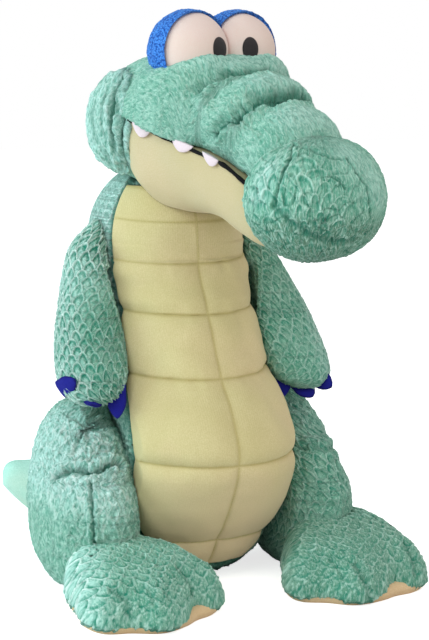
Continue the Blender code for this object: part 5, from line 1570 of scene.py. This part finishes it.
# Legs. Height of the thigh, half width, front and back of its half depth, outward shift.
THIGH_SHARES = [
    (0.000, 0.10, -0.20, 0.10, 0.00), (0.006, 0.36, -0.56, 0.44, 0.00), (0.06, 0.62, -0.86, 0.70, 0.04),
    (0.20, 0.88, -1.08, 0.88, 0.05), (0.42, 1.00, -1.05, 0.97, 0.00), (0.62, 0.97, -0.83, 0.98, -0.06),
    (0.80, 0.84, -0.49, 0.90, -0.16), (0.93, 0.58, -0.10, 0.73, -0.28), (0.99, 0.24, 0.18, 0.50, -0.34),
    (1.0, 0.05, 0.32, 0.38, -0.34),
]
THIGH_HALF_WIDTH, THIGH_HALF_DEPTH, THIGH_OUT = 35 * MM, 72 * MM, 0.80


def thigh_skin(side, rows=290, columns=370):
    height = bpy.context.scene.crocodile_sizes.thigh_height
    table = even_rows(THIGH_SHARES, rows, lambda r: np.stack([r[:, 0] * height, r[:, 1] * THIGH_HALF_WIDTH,
                                                              r[:, 2] * THIGH_HALF_DEPTH], -1))
    share, width, front, back, outward = (table[:, k][:, None] for k in range(5))
    turn = full_turn(columns) + (math.pi if side > 0 else 0)
    half, middle = (back - front) / 2 * THIGH_HALF_DEPTH, (back + front) / 2 * THIGH_HALF_DEPTH
    across, behind = ring_of(turn, width * THIGH_HALF_WIDTH, half, 2.0)
    out = side * THIGH_HALF_WIDTH * (THIGH_OUT + outward)
    at = np.stack([across + out + side * HIP[0], middle + behind + HIP[1], share * height + 0 * across], axis=-1)
    return Skin(at)


class CROCODILE_OT_thighs(bpy.types.Operator):
    """The sitting thighs, gathered at the knee and folded below it"""
    bl_idname = "crocodile.thighs"
    bl_label = "Thighs"

    knee = (88, 428)
    fold = [(56, 478), (65, 473), (77, 470), (88, 472), (100, 469), (110, 464), (120, 466)]
    seam = [(90, 472), (91, 490), (92, 512), (93, 535), (94, 552)]

    def execute(self, context):
        cloth = context.scene.crocodile_cloth
        right = thigh_skin(-1)
        lines = [seam_on(right, line) for line in (self.fold, self.seam)]
        knee = seam_on(right, [self.knee, self.knee])[0]
        for side, tag in ((-1, "r"), (1, "l")):
            skin = right if side < 0 else thigh_skin(1)
            fold, seam = lines if side < 0 else [mirror(line) for line in lines]
            pinch = knee if side < 0 else mirror([knee])[0]
            skin.push(1.8 * MM * cloudy(skin.at, 34 * MM, 111 + side))
            # Gathers run out from the pinched knee like the spokes of a fan, with painted shade in the pinch.
            way = skin.at - pinch
            far = np.linalg.norm(way, axis=2)
            spoke = np.arctan2(way[..., 2], way[..., 1] * 0.9 + way[..., 0] * 0.4 * side)
            fan = np.sin(spoke * 11 + 2.2 * cloudy(skin.at, 16 * MM, 112))
            right_leg = 1.0 if side < 0 else 0.35
            skin.push(2.0 * MM * right_leg * fan * bell(far, 24 * MM) * soft_step(far, 0, 7 * MM))
            skin.push(-3.0 * MM * right_leg * bell(far, 6 * MM))
            skin.darken(0.6 * right_leg * bell(far, 4 * MM))
            # The fold below the knee and the seam down the leg, pressed in with painted shade.
            skin.tuck_in(fold, 5.2 * MM * right_leg, 3.0 * MM, 0.9 * right_leg, 0.6, 1.9 * MM, reach=14 * MM)
            skin.tuck_in(seam, 2.8 * MM * right_leg, 1.5 * MM, 1.0 * right_leg, 0.35, 0.9 * MM)
            held = np.maximum(bell(far, 7 * MM), bell(skin.near(fold)[0], 5 * MM))
            held = np.maximum(held, bell(skin.near(seam)[0], 3 * MM))
            settle(skin, held, 0.05, 3.0 * MM)
            # Painted light on the right thigh's upper outer side, which faces the window light; painted shade on the
            # left thigh, less near the floor.
            if side < 0:
                skin.painted_light_and_shade = 0.06 + 1.35 * soft_step(skin.at[..., 2], 50 * MM, 110 * MM) * soft_step(
                    -skin.at[..., 0] - 0.4 * skin.at[..., 1], 75 * MM, 125 * MM)
            else:
                skin.painted_light_and_shade = -0.12 + 0.10 * soft_step(skin.at[..., 2], 80 * MM, 20 * MM)
            limit = HIP[0] + 0.3 * MM
            skin.at[..., 0] = side * np.maximum(skin.at[..., 0] * side, limit)
            skin.emboss(cloth, 0.75 if side < 0 else 1.2, up=1, seed=113 + side, rough=0.45, width=11.5 * MM)
            # Streaks of pile: painted highlight on the strands and painted shade between them.
            streaks = skin.at * (1, 1, 0.30)
            skin.paint_highlight((0.75 if side < 0 else 0.25) * veins(streaks, 4.5 * MM, 115, 0.14))
            skin.darken((0.40 if side < 0 else 0.15) * veins(streaks, 5.5 * MM, 116, 0.10))
            skin.nap(cloth, 2.0 if side < 0 else 1.2, 114)
            skin.at[..., 0] = side * np.maximum(skin.at[..., 0] * side, limit)
            skin.at[..., 2] = np.maximum(skin.at[..., 2], 0.0)
            build_skin("thigh_cloth_" + tag, skin, cloth_material("plush"), "leg_" + tag, "thigh_" + tag)
        return {"FINISHED"}


# Foot: turn from straight ahead to the crocodile's left in degrees, reach of the upper and of the sole.
FOOT_SHARES = [
    (-180, 0.36, 0.34), (-120, 0.36, 0.34), (-80, 0.42, 0.40), (-54, 0.55, 0.53), (-40, 0.78, 0.75),
    (-28, 0.95, 0.91), (-15, 0.92, 0.91), (-2, 1.02, 0.97), (12, 0.90, 0.90), (22, 0.79, 0.84), (34, 0.86, 0.84),
    (46, 0.82, 0.79), (62, 0.60, 0.58), (90, 0.46, 0.44), (130, 0.40, 0.38), (180, 0.36, 0.34),
]
ANKLE = {"l": np.array((104.0, -64.0, 0.0)) * MM, "r": np.array((-88.0, -64.0, 0.0)) * MM}
FOOT_TURN = {"l": math.radians(-16), "r": 0.0}


def foot_outline(column, columns, turned):
    """Outline of a foot about the ankle, as a closed row of points."""
    table = smooth_rows(FOOT_SHARES, 600)
    degrees = np.linspace(-180, 180, columns, endpoint=False)
    reach = np.interp(degrees, table[:, 0], table[:, column]) * bpy.context.scene.crocodile_sizes.foot_reach
    turn = np.radians(degrees) + turned
    return np.stack([np.sin(turn) * reach, -np.cos(turn) * reach], axis=-1)


def edge_distance(points, outline):
    """Distance from flat points to a closed outline."""
    best = np.full(points.shape[:-1], 1e9)
    for start, end in zip(outline, np.roll(outline, -1, axis=0)):
        way = end - start
        part = np.clip(((points - start) @ way) / max(way @ way, 1e-12), 0, 1)
        best = np.minimum(best, np.linalg.norm(points - start - part[..., None] * way, axis=-1))
    return best


class CROCODILE_OT_feet(bpy.types.Operator):
    """The three-toed feet, with their cream soles"""
    bl_idname = "crocodile.feet"
    bl_label = "Feet"

    # Short folds between and behind the toes on the photograph, with depth and width in mm.
    folds = {
        "r": [([(192, 592), (189, 583), (185, 574), (178, 566)], 2.4, 3.0),
              ([(127, 618), (128, 606), (122, 597), (112, 590)], 1.6, 2.6),
              ([(158, 585), (164, 591), (170, 599)], 1.3, 1.3), ([(146, 588), (151, 597), (153, 604)], 1.0, 1.2)],
        "l": [([(371, 597), (368, 586), (362, 574), (355, 563)], 2.6, 3.2),
              ([(416, 574), (413, 558), (405, 542)], 2.2, 3.0), ([(330, 560), (338, 570), (343, 582)], 1.0, 1.5)],
    }

    def execute(self, context):
        sizes, cloth = context.scene.crocodile_sizes, context.scene.crocodile_cloth
        for side, tag in ((-1, "r"), (1, "l")):
            turned = FOOT_TURN[tag]
            rows, columns, edge_rows = 170, 420, 10
            outline = foot_outline(1, columns, turned)
            scale = np.concatenate([np.linspace(0.95, 1.0, edge_rows),
                                    np.linspace(1.0, 0.02, rows - edge_rows) ** 0.9])
            flat = outline[None] * scale[:, None, None]
            gap = edge_distance(flat, outline[::3])
            soft = 25 * MM
            rise = np.sqrt(np.clip(1 - (1 - np.clip(gap / soft, 0, 1)) ** 2, 0, 1)) ** 0.9
            ahead = np.clip(np.linalg.norm(flat, axis=2) / sizes.foot_reach, 0, 1)
            top = sizes.foot_height * (1 - 0.42 * ahead ** 2)
            lower = 2.0 * MM
            height = lower + (top - lower) * (0.16 + 0.84 * rise)
            number = np.arange(rows)[:, None]
            height = np.where(number < edge_rows, lower + (number / edge_rows) * 0.16 * (top - lower), height)
            at = np.concatenate([flat, height[..., None]], axis=-1)
            skin = Skin(at)
            skin.flat = (at[..., 0], -at[..., 1] - 1.1 * at[..., 2])
            skin.push(1.3 * MM * cloudy(skin.at, 26 * MM, 121 + side) * soft_step(gap, 0, 12 * MM))
            # Painted shade along the bottom edge of the upper, where it meets the sole.
            skin.darken(0.7 * (number < 6) + 0 * gap)
            skin.at += ANKLE[tag]
            # Folds pressed in, with painted shade in them.
            for line, depth, width in self.folds[tag]:
                skin.tuck_in(seam_on(skin, line), depth * MM, width * MM, 0.45, 0.35, 0.7 * MM)
            # Painted light on the right foot's outer side, which faces the window light; painted shade on the rest of
            # it and all over the left foot.
            if side < 0:
                skin.painted_light_and_shade = 0.95 * soft_step(-skin.at[..., 0] + 0.3 * skin.at[..., 1], 60 * MM, 110 * MM) - 0.2
            else:
                skin.painted_light_and_shade = -0.48 + 0 * gap
            # The heel's inner side lies low, under the belly.
            inner = np.exp(-((np.abs(skin.at[..., 0]) - 52 * MM) / (13 * MM)) ** 2
                           - ((skin.at[..., 1] + 52 * MM) / (20 * MM)) ** 2)
            skin.at[..., 2] -= 10 * MM * inner * soft_step(skin.at[..., 2], 12 * MM, 30 * MM)
            skin.emboss(cloth, 1.35, up=1, seed=122 + side, rough=0.40, width=12 * MM)
            skin.nap(cloth, 1.1, 123)
            skin.at[..., 2] = np.maximum(skin.at[..., 2], 0.4 * MM)
            build_skin("foot_cloth_" + tag, skin, cloth_material("plush"), "leg_" + tag, "foot_" + tag)
            self.sole(tag, turned)
        return {"FINISHED"}

    def sole(self, tag, turned):
        rows, columns = 46, 240
        outline = foot_outline(2, columns, turned)
        scale = np.concatenate([np.linspace(0.03, 0.965, 18), np.linspace(0.975, 1.0, 6), np.linspace(1.0, 0.7, 22)])
        flat = outline[None] * scale[:, None, None]
        gap = edge_distance(flat, outline[::3])
        rise = np.sqrt(np.clip(1 - (1 - np.clip(gap / (9 * MM), 0, 1)) ** 2, 0, 1))
        number = np.arange(rows)[:, None]
        mid = 4.5 * MM * np.clip((number - 17) / 6, 0, 1)
        high = 4.5 * MM + 7.0 * MM * rise
        height = np.where(number < 18, 0.0, np.where(number < 24, mid, high))
        at = np.concatenate([flat, height[..., None]], axis=-1)
        skin = Skin(at)
        skin.at += ANKLE[tag]
        build_skin("sole_velour_" + tag, skin, cloth_material("sole"), "leg_" + tag, "sole_" + tag)


# Tail: way to the tip, half width, height.
TAIL_SHARES = [(0.00, 1.00, 1.00), (0.20, 0.98, 0.96), (0.45, 0.90, 0.86), (0.66, 0.74, 0.70), (0.82, 0.54, 0.54),
               (0.92, 0.38, 0.40), (0.98, 0.22, 0.24), (1.0, 0.05, 0.06)]
TAIL_ROOT = np.array((0.0, 106.0, 0.0)) * MM
TAIL_ROOT_R, TAIL_HEIGHT, TAIL_RISE = 42 * MM, 80 * MM, 42 * MM
TAIL_HEADING, TAIL_CURL = math.radians(28), math.radians(52)


class CROCODILE_OT_tail(bpy.types.Operator):
    """The smooth tail that curls to the crocodile's right"""
    bl_idname = "crocodile.tail"
    bl_label = "Tail"

    def execute(self, context):
        length = context.scene.crocodile_sizes.tail_length
        columns, root_rows = 180, 40
        table = even_rows(TAIL_SHARES, 130, lambda r: np.stack([r[:, 0] * length, r[:, 1] * TAIL_ROOT_R], -1))
        share = table[:, 0]
        heading = TAIL_HEADING + TAIL_CURL * share
        step = np.diff(share, prepend=share[0]) * length
        way = np.stack([-np.sin(heading), np.cos(heading)], axis=-1) * step[:, None]
        place = np.cumsum(way, axis=0)
        angle = np.linspace(0.03, math.pi / 2, root_rows, endpoint=False)
        front = np.array((math.sin(TAIL_HEADING), -math.cos(TAIL_HEADING))) * TAIL_ROOT_R
        root = front[None] * np.cos(angle)[:, None]
        place = np.concatenate([root, place])
        heading = np.concatenate([np.full(root_rows, TAIL_HEADING), heading])
        width = np.concatenate([np.sin(angle), table[:, 1]])
        tall = np.concatenate([np.sin(angle), table[:, 2]])
        half = TAIL_HEIGHT / 2
        middle = np.concatenate([np.full(root_rows, half), table[:, 2] * half + TAIL_RISE * share ** 3.5])
        turn = np.linspace(-math.pi / 2, 1.5 * math.pi, columns, endpoint=False)[None, :]
        side, lift = ring_of(turn, width[:, None] * TAIL_ROOT_R, tall[:, None] * half, 2.0)
        at = np.stack([place[:, :1] + np.cos(heading)[:, None] * side, place[:, 1:] + np.sin(heading)[:, None] * side,
                       middle[:, None] + lift], axis=-1) + TAIL_ROOT
        skin = Skin(at)
        skin.push(1.4 * MM * cloudy(skin.at, 36 * MM, 131))
        # A seam pressed in along the tail, with painted shade in it.
        skin.tuck_in(skin.at[45:-4:4, int(columns * 0.5)], 1.8 * MM, 1.8 * MM, 0.6)
        skin.push(0.12 * MM * cloudy(skin.at, 1.6 * MM, 132))
        skin.at[..., 2] = np.maximum(skin.at[..., 2], 0.0)
        build_skin("tail_velour", skin, cloth_material("tail"), "tail", "tail")
        return {"FINISHED"}


class CROCODILE_OT_stage(bpy.types.Operator):
    """Pale floor, studio light and the photograph's camera"""
    bl_idname = "crocodile.stage"
    bl_label = "Stage"

    def execute(self, context):
        scene = context.scene
        right, up, back = camera_axes()
        lens = bpy.data.cameras.new("camera")
        camera = bpy.data.objects.new("camera", lens)
        scene.collection.objects.link(camera)
        place = CAMERA_TARGET + CAMERA_DISTANCE * back
        camera.matrix_world = Matrix([(right[k], up[k], back[k], place[k]) for k in range(3)] + [(0, 0, 0, 1)])
        lens.sensor_fit = "VERTICAL"
        lens.sensor_height = 36
        lens.lens = lens.sensor_height * CAMERA_PIXELS / PHOTO_HEIGHT
        scene.camera = camera
        scene.view_settings.view_transform = "Standard"
        self.floor(scene)
        self.lamps(scene)
        world = bpy.data.worlds.new("studio")
        scene.world = world
        world.use_nodes = True
        tree = world.node_tree
        sky = tree.nodes["Background"]
        path = add(tree, "LightPath")
        seen = combined(tree, "MAXIMUM", path.outputs["Is Camera Ray"], path.outputs["Is Glossy Ray"])
        seen = combined(tree, "MAXIMUM", seen, path.outputs["Is Transmission Ray"])
        sky.inputs["Color"].default_value = (1, 1, 1, 1)
        strength = add(tree, "MapRange", {"Value": seen, "To Min": 0.58, "To Max": 1.0}).outputs[0]
        tree.links.new(strength, sky.inputs["Strength"])
        return {"FINISHED"}

    def floor(self, scene):
        mesh = bpy.data.meshes.new("floor")
        size = 6.0
        mesh.from_pydata([(-size, -size, 0), (size, -size, 0), (size, size, 0), (-size, size, 0)], [], [(0, 1, 2, 3)])
        floor = bpy.data.objects.new("floor", mesh)
        scene.collection.objects.link(floor)
        mat = bpy.data.materials.new("white_paper")
        mat.use_nodes = True
        tree = mat.node_tree
        shader = tree.nodes["Principled BSDF"]
        shader.inputs["Base Color"].default_value = (0.88, 0.88, 0.88, 1)
        shader.inputs["Roughness"].default_value = 0.9
        shader.inputs["Specular IOR Level"].default_value = 0.0
        # The camera sees the paper's shade lifted to white, and the object is lit by the paper as it is.
        path = add(tree, "LightPath")
        glow = add(tree, "Emission", {"Color": (1, 1, 1, 1), "Strength": 0.72})
        both = add(tree, "AddShader", {0: shader.outputs[0], 1: glow.outputs[0]})
        mixed = add(tree, "MixShader", {0: path.outputs["Is Camera Ray"], 1: shader.outputs[0], 2: both.outputs[0]})
        tree.links.new(mixed.outputs[0], tree.nodes["Material Output"].inputs["Surface"])
        mesh.materials.append(mat)

    def lamps(self, scene):
        # Place, size, strength and colour of each soft box: a cool key from the camera's left, a weak warm fill,
        # a strong cool one beside and a little behind the toy, and a weak one above it.
        boxes = [((-1.15, -0.85, 1.15), 0.8, 9.0, "#f2fdff"), ((0.5, -1.6, 0.6), 1.2, 5.5, "#fff0e2"),
                 ((-1.45, 0.35, 0.65), 0.8, 13.0, "#e2fbff"), ((0.1, -0.2, 1.7), 0.9, 2.6, "#fffaf0")]
        for number, (place, size, power, colour) in enumerate(boxes, 1):
            light = bpy.data.lights.new(f"softbox_{number}", "AREA")
            light.size, light.energy, light.color = size, power, linear(colour)
            box = bpy.data.objects.new(f"softbox_{number}", light)
            box.location = place
            aim = Vector((0.0, 0.0, 0.22)) - Vector(place)
            box.rotation_mode = "QUATERNION"
            box.rotation_quaternion = aim.to_track_quat("-Z", "Y")
            scene.collection.objects.link(box)


OPERATORS = [CROCODILE_OT_stage, CROCODILE_OT_torso, CROCODILE_OT_belly, CROCODILE_OT_neck, CROCODILE_OT_head,
             CROCODILE_OT_jaw, CROCODILE_OT_nose, CROCODILE_OT_cheeks, CROCODILE_OT_eyes, CROCODILE_OT_eyelids,
             CROCODILE_OT_teeth, CROCODILE_OT_arms, CROCODILE_OT_claws, CROCODILE_OT_thighs, CROCODILE_OT_feet,
             CROCODILE_OT_tail]
GROUPS = {"crocodile_colours": CrocodileColours, "crocodile_cloth": CrocodileCloth,
          "crocodile_sizes": CrocodileSizes}


class CROCODILE_PT_panel(bpy.types.Panel):
    """Lists the crocodile's pieces and their sizes"""
    bl_idname = "CROCODILE_PT_panel"
    bl_label = "Plush Crocodile"
    bl_space_type = "VIEW_3D"
    bl_region_type = "UI"
    bl_category = "Crocodile"

    def draw(self, context):
        for name in GROUPS:
            box = self.layout.box()
            group = getattr(context.scene, name)
            for key in group.bl_rna.properties.keys():
                if key not in ("rna_type", "name"):
                    box.prop(group, key)
        for operator in OPERATORS:
            self.layout.operator(operator.bl_idname)


def register():
    for group in GROUPS.values():
        bpy.utils.register_class(group)
    for name, group in GROUPS.items():
        setattr(bpy.types.Scene, name, PointerProperty(type=group))
    for operator in OPERATORS:
        bpy.utils.register_class(operator)
    bpy.utils.register_class(CROCODILE_PT_panel)


def unregister():
    bpy.utils.unregister_class(CROCODILE_PT_panel)
    for operator in reversed(OPERATORS):
        bpy.utils.unregister_class(operator)
    for name in GROUPS:
        delattr(bpy.types.Scene, name)
    for group in GROUPS.values():
        bpy.utils.unregister_class(group)


def main():
    register()
    for operator in OPERATORS:
        kind, name = operator.bl_idname.split(".")
        getattr(getattr(bpy.ops, kind), name)()


if __name__ == "__main__":
    main()
